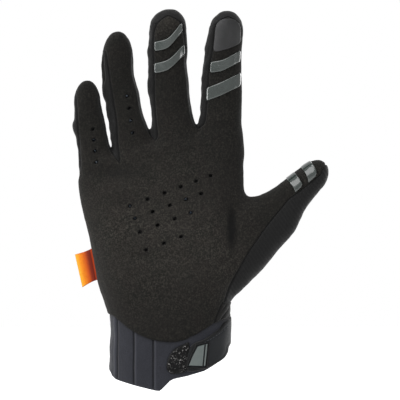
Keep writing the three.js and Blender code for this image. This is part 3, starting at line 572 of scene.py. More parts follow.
def bumped(tree, shader, height, strength, distance):
    made = add(tree, "ShaderNodeBump", {"Height": height, "Strength": strength, "Distance": distance * mm})
    tree.links.new(made.outputs["Normal"], shader.inputs["Normal"])


def suedeMaterial():
    material, tree, shader, where = shaderOf("suede", roughness=0.95, specular=0.07, sheen=0.03,
                                             sheenRoughness=0.6)
    grain = noise(tree, where, size=0.9, detail=3, rough=0.7)
    nap = noise(tree, where, size=2.0, detail=3, rough=0.6, warp=0.4)
    cloud = noise(tree, where, size=21, detail=3, rough=0.55)
    tint = noise(tree, where, size=9, detail=2, rough=0.5)
    # This column paints light and shade into the suede. It is paler where light falls on the palm and the
    # tips, the lit tone, and below zero darker in the creases and folds, the shaded tone. Both are painted
    # shade and light.
    worn = column(tree, "worn")
    fold = sums(tree, "MULTIPLY", worn, -0.75)
    dark = mixed(tree, spread(tree, tint, low=0.35, high=0.65), tone(19, 20, 17), tone(25, 22, 20))
    pale = mixed(tree, spread(tree, tint, low=0.35, high=0.65), tone(39, 39, 35), tone(46, 42, 39))
    base = mixed(tree, worn, dark, pale)
    base = mixed(tree, spread(tree, grain, low=0.46, high=0.62), base,
                 mixed(tree, worn, tone(56, 54, 49), tone(92, 88, 81)))
    base = mixed(tree, spread(tree, nap, low=0.35, high=0.7, to0=0, to1=0.5), base, tone(26, 26, 23))
    base = mixed(tree, spread(tree, cloud, low=0.4, high=0.65, to0=0, to1=0.3), base,
                 mixed(tree, worn, tone(34, 32, 30), tone(56, 53, 49)))
    # Painted shade: near black along the seams, round the holes, at the wrist edge and in the creases and
    # folds.
    base = mixed(tree, sums(tree, "MAXIMUM", column(tree, "seam"), fold), base, tone(9, 9, 9))
    tree.links.new(base, shader.inputs["Base Color"])
    bumped(tree, shader, sums(tree, "ADD", grain, sums(tree, "MULTIPLY", nap, 0.8)), strength=0.55,
           distance=0.22)
    return material


def knitHeight(tree, where, pitch):
    # rows of small chevrons, as on a fine jersey
    axes = add(tree, "ShaderNodeSeparateXYZ", {"Vector": where}).outputs
    sideways = sums(tree, "MULTIPLY_ADD", axes["Y"], 0.83, axes["X"])
    u = sums(tree, "FRACT", sums(tree, "DIVIDE", sideways, pitch))
    peak = sums(tree, "ABSOLUTE", sums(tree, "SUBTRACT", u, 0.5))
    v = sums(tree, "ADD", sums(tree, "DIVIDE", axes["Z"], pitch * 0.8), peak)
    loop = sums(tree, "ABSOLUTE", sums(tree, "SUBTRACT", sums(tree, "FRACT", v), 0.5))
    return sums(tree, "ADD", loop, sums(tree, "MULTIPLY", peak, 0.8))


def knitMaterial(name="knit", dark=(27, 27, 27), light=(44, 44, 44), pitch=1.05, specular=0.1):
    material, tree, shader, where = shaderOf(name, roughness=0.9, specular=specular, sheen=0.06,
                                             sheenRoughness=0.5)
    loops = knitHeight(tree, where, pitch)
    fuzz = noise(tree, where, size=0.7, detail=3, rough=0.7)
    patch = noise(tree, where, size=12, detail=2)
    base = mixed(tree, spread(tree, loops, low=0.2, high=0.85), tone(*dark), tone(*light))
    base = mixed(tree, spread(tree, patch, low=0.4, high=0.7, to0=0, to1=0.35), base,
                 tone(*[c - 8 for c in dark]))
    base = mixed(tree, spread(tree, fuzz, low=0.5, high=0.75, to0=0, to1=0.35), base,
                 tone(*[c + 9 for c in light]))
    # Painted shade: near black along the seams, and on the elastic in the valleys of its folds and beyond the
    # pucker band.
    base = mixed(tree, column(tree, "seam"), base, tone(9, 9, 9))
    tree.links.new(base, shader.inputs["Base Color"])
    bumped(tree, shader, sums(tree, "MULTIPLY_ADD", fuzz, 0.4, loops), strength=0.6, distance=0.3)
    return material


def ribbedMaterial():
    # fine ribs across the back of the thumb
    material, tree, shader, where = shaderOf("thumbKnit", roughness=0.88, specular=0.12, sheen=0.07,
                                             sheenRoughness=0.5)
    lean = math.radians(fingers["thumb"]["lean"] - 8)
    axes = add(tree, "ShaderNodeSeparateXYZ", {"Vector": where}).outputs
    along = sums(tree, "ADD", sums(tree, "MULTIPLY", axes["X"], -math.sin(lean)),
                 sums(tree, "MULTIPLY", axes["Z"], math.cos(lean)))
    wander = noise(tree, where, size=14, detail=2)
    wave = sums(tree, "SINE", sums(tree, "ADD", sums(tree, "MULTIPLY", along, 2 * math.pi / 2.1),
                                   sums(tree, "MULTIPLY", wander, 5.0)))
    fuzz = noise(tree, where, size=0.6, detail=3, rough=0.7)
    ribs = sums(tree, "MULTIPLY_ADD", wave, 0.5, 0.5)
    base = mixed(tree, ribs, tone(23, 23, 24), tone(33, 33, 33))
    base = mixed(tree, spread(tree, fuzz, low=0.45, high=0.75, to0=0, to1=0.4), base, tone(46, 45, 44))
    # Painted shade: darker along the seams.
    base = mixed(tree, column(tree, "seam"), base, tone(15, 15, 15))
    tree.links.new(base, shader.inputs["Base Color"])
    bumped(tree, shader, sums(tree, "MULTIPLY_ADD", fuzz, 0.35, ribs), strength=0.4, distance=0.25)
    return material


def neopreneMaterial(name, low, high, edge=(8, 8, 9)):
    material, tree, shader, where = shaderOf(name, roughness=0.85, specular=0.16, sheen=0.08,
                                             sheenRoughness=0.45)
    weave = knitHeight(tree, where, 0.62)
    grain = noise(tree, where, size=0.8, detail=3, rough=0.7)
    cloud = noise(tree, where, size=15, detail=2)
    base = mixed(tree, spread(tree, grain, low=0.35, high=0.68), tone(*low), tone(*high))
    base = mixed(tree, spread(tree, weave, low=0.2, high=0.8, to0=0, to1=0.3), base,
                 tone(*[c + 12 for c in high]))
    base = mixed(tree, spread(tree, cloud, low=0.4, high=0.7, to0=0, to1=0.3), base, tone(*low))
    # Painted highlight: paler on the cuff's raised ridges and along its rolled hem.
    base = mixed(tree, column(tree, "worn"), base, tone(*[c + 30 for c in high]))
    # Painted shade: darker in the cuff's grooves, under the suede's edge and along the strap's rim.
    base = mixed(tree, column(tree, "seam"), base, tone(*edge))
    tree.links.new(base, shader.inputs["Base Color"])
    bumped(tree, shader, sums(tree, "MULTIPLY_ADD", grain, 0.7, weave), strength=0.45, distance=0.2)
    return material


def glossMaterial(name, low, high, roughness, specular, coat=0.0, grainSize=0.9, bump=0.04, strength=0.25):
    material, tree, shader, where = shaderOf(name, roughness, specular, coat=coat, coatRoughness=0.12)
    grain = noise(tree, where, grainSize, detail=3, rough=0.6)
    cloud = noise(tree, where, size=5, detail=2)
    base = mixed(tree, spread(tree, cloud, low=0.35, high=0.65), tone(*low), tone(*high))
    # Painted shade: darker round the pad's rounded edge.
    base = mixed(tree, column(tree, "seam"), base, tone(*[int(c * 0.55) for c in low]))
    tree.links.new(base, shader.inputs["Base Color"])
    tree.links.new(spread(tree, grain, low=0.3, high=0.7, to0=roughness * 0.85, to1=roughness * 1.2),
                   shader.inputs["Roughness"])
    bumped(tree, shader, sums(tree, "ADD", grain, cloud), strength, bump)
    return material


def hookMaterial():
    material, tree, shader, where = shaderOf("hookPlastic", roughness=0.35, specular=0.1)
    grain = noise(tree, where, size=0.9, detail=2, rough=0.7)
    streak = noise(tree, where, size=3.2, detail=2, rough=0.5)
    # Painted highlights: white sparkles where light catches the hooks, gathered in streaks.
    paintedSparkle = sums(tree, "MULTIPLY", spread(tree, grain, low=0.58, high=0.66),
                 spread(tree, streak, low=0.42, high=0.6, to0=0.08, to1=1.0))
    base = mixed(tree, paintedSparkle, tone(4, 4, 5), tone(255, 252, 250))
    # Painted shade: near black round the tip's rounded edge.
    base = mixed(tree, column(tree, "seam"), base, tone(4, 4, 4))
    tree.links.new(base, shader.inputs["Base Color"])
    bumped(tree, shader, grain, strength=0.5, distance=0.3)
    return material


def liningMaterial():
    material, tree, shader, where = shaderOf("liningMesh", roughness=0.7, specular=0.3)
    cell = add(tree, "ShaderNodeTexVoronoi", {"Vector": where, "Scale": 1 / 0.8}).outputs["Distance"]
    # Painted light and shade: the lining is near black as painted shade inside the holes, and pale blue-grey
    # as a painted glint where the glint column is set.
    shine = column(tree, "glint")
    thread = mixed(tree, spread(tree, cell, low=0.1, high=0.6), tone(235, 245, 255), tone(130, 150, 172))
    base = mixed(tree, shine, tone(6, 6, 7), thread)
    tree.links.new(base, shader.inputs["Base Color"])
    bumped(tree, shader, cell, strength=0.7, distance=0.25)
    return material


def ribbonMaterial():
    spec = {"vivid": 0.44}  # dyed satin throws back more than the cloth around it
    material, tree, shader, where = shaderOf("ribbon", roughness=0.5, specular=0.15)
    reach = column(tree, "reach")

    def vivid(*rgb):
        return (*[spec["vivid"] * value for value in linear(*rgb)], 1.0)

    # The ramp paints the satin's light and shade: dark red near the glove is painted shade, and yellow-orange
    # towards the fold is painted light.
    stops = [(0.0, vivid(225, 82, 8)), (0.07, vivid(205, 66, 8)), (0.13, vivid(120, 30, 10)),
             (0.3, vivid(150, 44, 10)), (0.46, vivid(222, 92, 6)), (0.66, vivid(248, 132, 4)),
             (0.86, vivid(252, 160, 8)), (1.0, vivid(255, 184, 40))]
    base = ramp(tree, reach, stops)
    axes = add(tree, "ShaderNodeSeparateXYZ", {"Vector": where}).outputs
    slant = sums(tree, "ADD", axes["Z"], sums(tree, "MULTIPLY", axes["X"], 0.35))
    thread = sums(tree, "SINE", sums(tree, "MULTIPLY", slant, 2 * math.pi / 0.34))
    fuzz = noise(tree, where, size=1.6, detail=3)
    base = mixed(tree, spread(tree, fuzz, low=0.45, high=0.75, to0=0, to1=0.14), base, tone(150, 50, 16))
    base = mixed(tree, column(tree, "seam"), base, vivid(160, 36, 16))
    tree.links.new(base, shader.inputs["Base Color"])
    bumped(tree, shader, sums(tree, "MULTIPLY_ADD", thread, 0.5, fuzz), strength=0.35, distance=0.08)
    return material


def threadMaterial():
    material, tree, shader, where = shaderOf("thread", roughness=0.6, specular=0.3)
    twist = noise(tree, where, size=0.3, detail=2)
    tree.links.new(mixed(tree, twist, tone(46, 50, 56), tone(84, 90, 98)), shader.inputs["Base Color"])
    bumped(tree, shader, twist, strength=0.4, distance=0.05)
    return material


def floorMaterial():
    material, tree, shader, where = shaderOf("paleFloor", roughness=0.9, specular=0.1)
    cloud = noise(tree, where, size=400, detail=2)
    tree.links.new(mixed(tree, cloud, (0.93, 0.93, 0.93, 1), (0.96, 0.96, 0.96, 1)),
                   shader.inputs["Base Color"])
    return material


materials = {
    "suede": suedeMaterial(),
    "knit": knitMaterial("knit", (28, 28, 28), (46, 46, 46)),
    "sideKnit": knitMaterial("sideKnit", (20, 20, 20), (35, 35, 35), pitch=0.8),
    "thumbKnit": ribbedMaterial(),
    "neoprene": neopreneMaterial("neoprene", (42, 44, 52), (60, 62, 72)),
    "strapCloth": neopreneMaterial("strapCloth", (30, 33, 36), (44, 48, 53)),
    "elastic": knitMaterial("elastic", (27, 27, 26), (56, 55, 52), pitch=0.7),
    "silicone": glossMaterial("silicone", (57, 68, 64), (66, 77, 73), roughness=0.13, specular=0.45,
                              coat=0.35, strength=0.15),
    "film": glossMaterial("film", (32, 33, 34), (48, 48, 50), roughness=0.5, specular=0.28),
    "rubber": glossMaterial("rubber", (8, 8, 9), (13, 13, 14), roughness=0.5, specular=0.15),
    "badge": glossMaterial("badge", (126, 137, 135), (132, 143, 140), roughness=0.45, specular=0.3, coat=0.0),
    "hook": hookMaterial(),
    "lining": liningMaterial(),
    "ribbon": ribbonMaterial(),
    "thread": threadMaterial(),
}
print("materials made")

field, gridOrigin, gridStep = buildField()
basePoints, baseQuads = surfaceOf(field, gridOrigin, gridStep)
basePoints = relaxed(basePoints, edgesOf(baseQuads), 3)
baseTris = trianglesOf(baseQuads, basePoints)
baseNormals = relaxed(normalsOf(basePoints, baseTris), edgesOf(baseQuads), 1)
baseNormals /= np.linalg.norm(baseNormals, axis=1)[:, None]
baseTree = BVHTree.FromPolygons(basePoints.tolist(), baseTris.tolist())
print("surface made,", len(basePoints), "points")


def onFront(x, z):
    # the place on the palm side of the bare surface, and the way it faces
    place, facing, _, _ = baseTree.ray_cast(Vector((x, -80, z)), Vector((0, 1, 0)))
    return place, facing


# Outlines in the plane of the palm
def curved(points, steps=8, closed=False):
    # a smooth curve through a few points
    p = np.asarray(points, float)
    p = np.vstack([p[-1], p, p[0], p[1]]) if closed else np.vstack([2 * p[0] - p[1], p, 2 * p[-1] - p[-2]])
    out = []
    for a, b, c, d in zip(p, p[1:], p[2:], p[3:]):
        for t in np.linspace(0, 1, steps, endpoint=False):
            out.append(b + 0.5 * t * (c - a + t * (2 * a - 5 * b + 4 * c - d + t * (3 * (b - c) + d - a))))
    if not closed:
        out.append(p[-2])
    return np.array(out)


def insideOutline(x, z, line):
    # distance to a closed outline, above zero inside it
    nearest = np.full(x.shape, 1e9)
    inside = np.zeros(x.shape, bool)
    for (ax, az), (bx, bz) in zip(line, np.roll(line, -1, 0)):
        ex, ez = bx - ax, bz - az
        t = np.clip(((x - ax) * ex + (z - az) * ez) / (ex * ex + ez * ez + 1e-12), 0, 1)
        nearest = np.minimum(nearest, np.hypot(x - ax - t * ex, z - az - t * ez))
        if az != bz:
            inside ^= ((az > z) != (bz > z)) & (x < ax + (z - az) / (bz - az) * ex)
    return np.where(inside, nearest, -nearest)


def heightOver(line, x):
    line = np.asarray(line)
    return np.interp(x, line[:, 0], line[:, 1])


def wristCurve(shares, **options):
    return curved([wristPoint(*share) for share in shares], **options)


wristEdge = wristCurve([(-1.3, 1.01), (-1.0, 1.0), (-0.85, 0.922), (-0.66, 0.815), (-0.47, 0.737),
                        (-0.26, 0.678), (0.0, 0.655), (0.20, 0.674), (0.39, 0.735), (0.58, 0.822),
                        (0.73, 0.89), (0.90, 0.93), (1.3, 0.97)])
wristBack = [wristPoint(*share) for share in ((-1.3, 1.01), (0.0, 1.0), (1.3, 0.97))]
frontHem = [wristPoint(*share) for share in (
    (-1.3, 0.28), (-1.03, 0.25), (-0.99, 0.185), (-0.93, 0.147), (-0.57, 0.074), (-0.24, 0.016),
    (-0.17, 0.012), (-0.12, 0.045), (0.00, 0.142), (0.06, 0.168), (0.14, 0.182), (0.29, 0.206), (0.58, 0.27),
    (0.80, 0.362), (0.90, 0.43), (0.965, 0.52), (1.0, 0.60), (1.3, 0.70))]
backHem = wristCurve([(-1.3, 0.25), (-1.0, 0.21), (-0.4, 0.17), (0.4, 0.34), (1.0, 0.60), (1.3, 0.70)])
gatherOutline = np.array([wristPoint(*share) for share in (
    (0.845, 1.13), (0.93, 1.16), (1.3, 1.20), (1.3, 0.97), (0.9, 0.93), (0.725, 0.885))])
webLine = curved([palmPoint(*share) for share in (
    (-1.3, 0.755), (-1.08, 0.76), (-0.95, 0.80), (-0.82, 0.87), (-0.70, 0.875), (-0.635, 0.833),
    (-0.58, 0.87), (-0.50, 0.93), (-0.36, 0.99), (-0.21, 0.955), (-0.14, 0.99), (-0.05, 1.03), (0.16, 1.06),
    (0.35, 1.005), (0.52, 1.06), (1.0, 1.08), (1.3, 1.08))], steps=5)


# The seam between the suede and the back of the thumb, then round all that lies to its left, in millimetres
thumbSeam = np.vstack([curved([(98.5, 143.5), (93.4, 135.2), (91.6, 132.1), (77.4, 120.8), (73.2, 117.6),
                               (65.5, 108.4), (59.6, 101.2), (53.7, 92.9), (47.7, 84.1), (38.3, 67.6),
                               (35.8, 62.0), (33.0, 53.1), (31.6, 47.7), (30.0, -20.0)], steps=4),
                       [(-120, -20), (-120, 260), (98.5, 260)]])


# What lies where: each gives millimetres to the nearest edge of a piece, above zero on it
def suedeAlone(points):
    x, y, z = points.T
    found = np.full(len(points), -1e9)
    leftOfSeam = insideOutline(x, z, thumbSeam)
    for name, finger in fingers.items():
        half = finger["width"] / 2
        along, across, behind = fingerPlace(name, x, y, z)
        left = sampled(fingerRungs[name], 3, along) * half
        right = leftOfSeam
        if name != "thumb":
            right = sampled(fingerRungs[name], 4, along) * half - across
        own = np.minimum(np.minimum(across + left, right), -behind)
        own = np.minimum(own, (finger["suedeTop"] - along) * finger["length"])
        own = np.minimum(own, (along - fingerRungs[name][0][0]) * finger["length"])
        found = np.maximum(found, own)
    return np.maximum(found, np.minimum(np.minimum(heightOver(webLine, x) - z, leftOfSeam), -y))


def aboveWrist(points):
    x, y, z = points.T
    behind = smoothStep(y, -5, 5)
    return z - heightOver(wristEdge, x) * (1 - behind) - heightOver(wristBack, x) * behind


def aboveHem(points):
    x, y, z = points.T
    behind = smoothStep(y, -5, 5)
    return z - heightOver(frontHem, x) * (1 - behind) - heightOver(backHem, x) * behind


def gatherAlone(points):
    x, y, z = points.T
    return np.minimum(insideOutline(x, z, gatherOutline), 13 - y)


def suedeRegion(points):
    return np.minimum(np.minimum(suedeAlone(points), aboveWrist(points)), -gatherAlone(points))


def thumbBackAlone(points):
    along, across, _ = fingerPlace("thumb", *points.T)
    edge = np.interp(along, *zip(*thumbBackEdge)) * fingers["thumb"]["width"] / 2
    return np.minimum(across + edge, (along + 0.3) * fingers["thumb"]["length"])


sideWalls = {
    "little_side_panel": [("little", -1, 0.94)],
    "fourchette_ring_little": [("little", 1, 0.94), ("ring", -1, 0.95)],
    "fourchette_middle_ring": [("ring", 1, 0.95), ("middle", -1, 0.90)],
    "fourchette_index_middle": [("middle", 1, 0.88), ("index", -1, 0.89)],
}


def wallAlone(points, name):
    found = np.full(len(points), -1e9)
    for finger, side, top in sideWalls[name]:
        along, across, behind = fingerPlace(finger, *points.T)
        size = fingers[finger]
        own = np.minimum(side * across, 0.62 * size["depth"] / 2 - behind)
        own = np.minimum(own, 1.7 * size["width"] / 2 - side * across)
        own = np.minimum(own, np.minimum(along, top - along) * size["length"])
        found = np.maximum(found, own)
    return found


def knitRegion(points, name):
    # the panels of knit take what is left in turn: thumb, side walls, then the back
    rest = np.minimum(np.minimum(-suedeAlone(points), aboveWrist(points)), -gatherAlone(points))
    thumb = thumbBackAlone(points)
    if name == "thumb_back_panel":
        return np.minimum(rest, thumb)
    rest = np.minimum(rest, -thumb)
    for other in sideWalls:
        wall = wallAlone(points, other)
        if other == name:
            return np.minimum(rest, wall)
        rest = np.minimum(rest, -wall)
    return rest


def cuffRegion(points):
    return np.minimum(1.2 - aboveWrist(points), aboveHem(points))


def gatherRegion(points):
    return np.minimum(gatherAlone(points), aboveWrist(points))


def cutPanel(region, grain, band=1.0, extra=None, levels=2):
    # the piece of the bare surface on which a region is above zero, with finer triangles at its edges
    value = region(basePoints)
    points, tris, normal = kept(basePoints, baseTris, baseNormals, (value[baseTris] > -3).any(1))
    for _ in range(levels):
        value = region(points)
        near = np.abs(value) < band
        if extra is not None:
            near |= extra(points) & (value > -1)
        points, tris, normal = refined(points, tris, normal, near, grain)
    value = region(points)
    points, tris, value, normal = cutAtZero(points, tris, value, normal)
    normal /= np.maximum(np.linalg.norm(normal, axis=1), 1e-9)[:, None]
    return points, tris, value, normal


def seamTone(value, width):
    return np.exp(-(np.abs(value) / width) ** 2)


def doubled(values):
    return np.concatenate([values, values])


# Holes of the palm and of two fingers, and which of them show the lining as a pale glint
perforations = {
    "radius": 1.08, "oval": 1.16, "pitch": 10.6, "climb": 20.5, "stretch": 1.7,
    "palmRows": [(-0.485, 0.600, 6), (-0.423, 0.531, 5), (-0.363, 0.457, 4), (-0.287, 0.359, 3)],
    "fingerRows": [("ring", 0.528, 0.27, -0.088, 4), ("little", 0.497, 0.20, -0.112, 4)],
    "glints": {0: 0.5, 6: 0.9, 9: 0.9, 14: 0.8, 18: 1.0, 20: 1.0, 21: 1.0, 23: 0.7, 24: 0.9, 25: 0.9},
}


def holePlaces():
    places = []
    climb = math.radians(perforations["climb"])
    for across, up, count in perforations["palmRows"]:
        x, z = palmPoint(across, up)
        for i in range(count):
            run = i * perforations["pitch"]
            run += perforations["stretch"] * math.sin(math.pi * run / (5 * perforations["pitch"]))
            places.append((x + run * math.cos(climb), z + run * math.sin(climb)))
    for name, start, across, step, count in perforations["fingerRows"]:
        finger = fingers[name]
        rootX, rootZ = palmPoint(finger["across"], finger["up"])
        lean = math.radians(finger["lean"])
        side = across * finger["width"] / 2
        for i in range(count):
            up = (start + i * step) * finger["length"]
            places.append((rootX - math.sin(lean) * up + math.cos(lean) * side,
                           rootZ + math.cos(lean) * up + math.sin(lean) * side))
    return np.array(places)


holes = holePlaces()


def toHoles(points):
    front = points[:, 1] < -1
    away = np.full(len(points), 1e9)
    for x, z in holes:
        dx, dz = points[:, 0] - x, points[:, 2] - z
        long = (0.9 * dx + 0.44 * dz) / perforations["oval"]
        wide = (0.9 * dz - 0.44 * dx) * perforations["oval"] ** 0.5
        away = np.minimum(away, np.hypot(long, wide))
    return np.where(front, away, 1e9)


# Where light and shade are painted on the suede: place in the palm's plane, reach across and up, how much.
# Above zero is painted light, paler where light falls on the palm and the tips; below zero is painted shade,
# darker in the creases and folds.
wornSpots = [(-4, 98, 46, 44, 1.0), (38, 74, 16, 22, 0.45), (-2, 229, 12, 9, 1.0), (-40, 105, 16, 40, 0.3),
             (92, 128, 12, 12, 0.5), (37.7, 100, 2.3, 10, -3.0), (-33, 134, 17, 4, -0.5),
             (-30, 117, 12, 5, -0.3), (-24, 88, 16, 8, -0.25)]


def wornAt(points):
    total = np.zeros(len(points))
    for x, z, wide, tall, share in wornSpots:
        total += share * np.exp(-((points[:, 0] - x) / wide) ** 2 - ((points[:, 2] - z) / tall) ** 2)
    return np.clip(total, -1.1, 1)


palmPanel = {"grain": 0.55, "seamDepth": 0.55, "seamWidth": 1.1, "wrinkle": 0.22, "hemRound": 0.35}


def buildPalm():
    spec = palmPanel

    def region(points):
        return np.minimum(suedeRegion(points), toHoles(points) - perforations["radius"])

    points, tris, value, normal = cutPanel(region, spec["grain"])
    toHole = toHoles(points) - perforations["radius"]
    sewn = np.minimum(suedeAlone(points), -gatherAlone(points))
    hem = aboveWrist(points)
    dip = 1 - smoothStep(sewn, 0, spec["seamWidth"])
    holeDip = 1 - smoothStep(toHole, 0, 0.9)
    pucker = ripple(points, wave=3.4, seed=5) * smoothStep(5 - sewn, 0, 5) * 0.07
    relief = spec["wrinkle"] * ripple(points, wave=19, seed=3) + 0.08 * ripple(points, wave=6, seed=4)
    relief = relief + pucker
    outer = relief * smoothStep(sewn, 0, 3) - spec["seamDepth"] * dip - 0.22 * holeDip
    outer -= spec["hemRound"] * (1 - smoothStep(hem, 0, 0.8))
    shade = np.maximum(seamTone(sewn, width=0.42), 0.7 * seamTone(toHole, width=0.25))
    shade = np.maximum(shade, 0.6 * seamTone(hem, width=0.4))
    outline = closedWall(points, tris, normal, outer, -glove["wall"])
    # Both columns paint light into the suede: painted shade along the seams, holes and wrist edge, and
    # painted light and shade from the spots above.
    piece = meshObject("palm_panel.suede", *outline, materials["suede"], seam=doubled(shade),
                       worn=doubled(wornAt(points)))
    dress(piece, "suede", "palm_panel")
    print("palm made,", len(outline[1]), "triangles")


knitPanels = {
    "back_panel": {"material": "knit", "grain": 0.6, "wrinkle": 0.25, "bump": 0.0},
    "thumb_back_panel": {"material": "thumbKnit", "grain": 0.55, "wrinkle": 0.16, "bump": 0.0},
    "little_side_panel": {"material": "sideKnit", "grain": 0.5, "wrinkle": 0.1, "bump": 0.28},
    "fourchette_ring_little": {"material": "sideKnit", "grain": 0.5, "wrinkle": 0.1, "bump": 0.28},
    "fourchette_middle_ring": {"material": "sideKnit", "grain": 0.5, "wrinkle": 0.1, "bump": 0.24},
    "fourchette_index_middle": {"material": "sideKnit", "grain": 0.5, "wrinkle": 0.1, "bump": 0.2},
}


def buildKnit(name, spec):
    points, tris, value, normal = cutPanel(lambda p: knitRegion(p, name), spec["grain"])
    dip = 1 - smoothStep(value, 0, 1.0)
    roll = np.exp(-((value - 1.5) / 0.6) ** 2)  # the turned edge beside the seam stands up a little
    free = smoothStep(value, 0, 3)
    relief = spec["wrinkle"] * ripple(points, wave=17, seed=11) + 0.07 * ripple(points, wave=5, seed=12)
    bumps = spec["bump"] * ripple(points * np.array([0.4, 0.4, 1.0]), wave=6.5, seed=13)
    deep = 0.1 + 0.45 * smoothStep(suedeAlone(points), -1.6, -0.6)
    outer = (relief + bumps) * free - deep * dip + 0.16 * roll * deep / 0.55
    outline = closedWall(points, tris, normal, outer, -glove["wall"])
    # The seam column is painted shade along the panel's seams.
    piece = meshObject(name + ".cloth", *outline, materials[spec["material"]],
                       seam=doubled(seamTone(value, width=0.4)))
    dress(piece, "knit", name)
    print(name, "made,", len(outline[1]), "triangles")


cuffSpec = {
    "grooves": (-33.0, -22.4, -10.2), "ridges": (-34.7, -21.1, -8.9), "grooveDepth": 0.75,
    "grooveWidth": 0.55, "hemRound": 1.3, "grain": 0.5,
}


def cuffLines(points, places):
    total = np.zeros(len(points))
    for place in places:
        total += np.exp(-((points[:, 0] - place) / cuffSpec["grooveWidth"]) ** 2)
    return total * smoothStep(-points[:, 1], 0, 4)


def buildCuff():
    spec = cuffSpec
    points, tris, value, normal = cutPanel(
        cuffRegion, spec["grain"], extra=lambda p: cuffLines(p, spec["grooves"] + spec["ridges"]) > 0.02)
    hem = aboveHem(points)
    reach = np.clip(1 - hem / spec["hemRound"], 0, 1)
    turn = (1 - np.sqrt(1 - reach ** 2)) * 1.1
    grooves = cuffLines(points, spec["grooves"])
    ridges = cuffLines(points, spec["ridges"])
    relief = 0.18 * ripple(points, wave=16, seed=21) + 0.05 * ripple(points, wave=5, seed=22)
    lines = (spec["grooveDepth"] * grooves - 0.3 * ridges) * smoothStep(hem, 0.4, 2.4)
    outer = relief - glove["cuffSink"] - lines - turn
    inner = -glove["cuffSink"] - glove["cuffWall"] + turn
    # Painted shade: a painted shadow under the suede's edge and darker grooves.
    under = 0.5 * seamTone(aboveWrist(points), width=1.0)
    shade = np.clip(np.clip(grooves, 0, 1) * 0.55 + under, 0, 1)
    outline = closedWall(points, tris, normal, outer, inner)
    # Painted highlight: paler on the raised ridges and along the rolled hem.
    ridgeHighlight = np.maximum(0.6 * ridges, 0.5 * seamTone(hem, width=0.7))
    piece = meshObject("cuff.cloth", *outline, materials["neoprene"], seam=doubled(shade), worn=doubled(ridgeHighlight))
    dress(piece, "neoprene", "cuff")
    print("cuff made,", len(outline[1]), "triangles")


gatherSpec = {"pitch": 2.7, "slant": 38.0, "height": 0.8, "grain": 0.45, "band": (34.0, 38.0)}


def buildGather():
    spec = gatherSpec
    points, tris, value, normal = cutPanel(gatherRegion, spec["grain"], extra=lambda p: gatherRegion(p) > -1)
    slant = math.radians(spec["slant"])
    x, y, z = points.T
    phase = (x * math.cos(slant) - z * math.sin(slant)) / spec["pitch"]
    phase = phase + 0.07 * ripple(points, wave=12, seed=31)
    folds = np.abs(np.sin(np.pi * phase)) ** 0.7
    free = smoothStep(value, 0, 1.6) * (1 - 0.75 * smoothStep(x, *spec["band"]))
    outer = spec["height"] * folds * free - 0.5 * (1 - smoothStep(value, 0, 1.0))
    shade = np.maximum(seamTone(value, width=0.45), 0.75 * (1 - folds) ** 2 * free)
    shade = np.maximum(shade, 0.35 * smoothStep(x, *spec["band"]))
    outline = closedWall(points, tris, normal, outer, -glove["wall"])
    piece = meshObject("wrist_gather.cloth", *outline, materials["elastic"], seam=doubled(shade))
    dress(piece, "elastic", "wrist_gather")
    print("gather made,", len(outline[1]), "triangles")


def raised(name, region, node, slot, material, base, height, edge, grain=0.3, levels=3, relief=None,
           shade=0.3):
    # a closed pad on the surface, its edge rounded over some millimetres
    points, tris, value, normal = cutPanel(region, grain, band=1e9, levels=levels)
    near = np.clip(1 - value / edge, 0, 1)
    dome = 0.12 + 0.88 * np.sqrt(1 - near ** 2)
    outer = base + height * dome
    if relief is not None:
        outer = outer + relief(points, value)
    outline = closedWall(points, tris, normal, outer, np.full(len(points), base))
    piece = meshObject(name, *outline, materials[material], seam=doubled(seamTone(value, shade)))
    dress(piece, slot, node)
    print(name, "made,", len(outline[1]), "triangles")
    return piece


# Silicone bars: where their left end, middle and right end lie along the finger, half their own height, and
# how far they reach to each side, as shares
bars = {
    "grip_middle_upper": ("middle", 0.743, 0.766, 0.870, 0.034, 0.71, 0.72),
    "grip_middle_lower": ("middle", 0.594, 0.620, 0.720, 0.036, 0.76, 0.80),
    "grip_index_upper": ("index", 0.583, 0.606, 0.678, 0.041, 0.69, 0.82),
    "grip_index_lower": ("index", 0.390, 0.440, 0.512, 0.050, 0.82, 0.90),
    "grip_thumb_outer": ("thumb", 0.892, 0.872, 0.842, 0.043, 0.80, 0.29),
    "grip_thumb_inner": ("thumb", 0.750, 0.738, 0.718, 0.039, 0.80, 0.21),
}
barSpec = {"height": 0.75, "edge": 0.75, "sink": -0.15, "corner": 1.2}


def barRegion(points, bar):
    name, low, mid, high, tall, left, right = bar
    finger = fingers[name]
    half = finger["width"] / 2
    along, across, behind = fingerPlace(name, *points.T)
    ends = curved([(-left * 1.4, low + (low - mid) * 0.4), (-left, low), (0, mid), (right, high),
                   (right * 1.4, high + (high - mid) * 0.4)])
    centre = np.interp(across / half, ends[:, 0], ends[:, 1])
    steepness = np.diff(ends[:, 1]) / np.maximum(np.diff(ends[:, 0]), 1e-6)
    slope = np.interp(across / half, ends[:-1, 0], steepness)
    straight = np.sqrt(1 + (slope * finger["length"] / half) ** 2)
    up = (tall - np.abs(along - centre)) * finger["length"] / straight
    side = np.minimum(across + left * half, right * half - across)
    return np.minimum(softMin(up, side, barSpec["corner"]), -behind)


def buildBars():
    for name, bar in bars.items():
        raised(name + ".silicone", lambda p: barRegion(p, bar), name, "silicone", "silicone", barSpec["sink"],
               barSpec["height"] - barSpec["sink"], barSpec["edge"], grain=0.35, shade=0.25)


patch = {
    "outline": [(-0.53, 0.700), (0.02, 0.712), (0.50, 0.742), (0.77, 0.775), (0.78, 0.835), (0.74, 0.888),
                (0.47, 0.927), (0.10, 0.935), (-0.28, 0.922), (-0.50, 0.88), (-0.55, 0.79)],
    "height": 0.5, "edge": 0.5, "sink": -0.1,
}


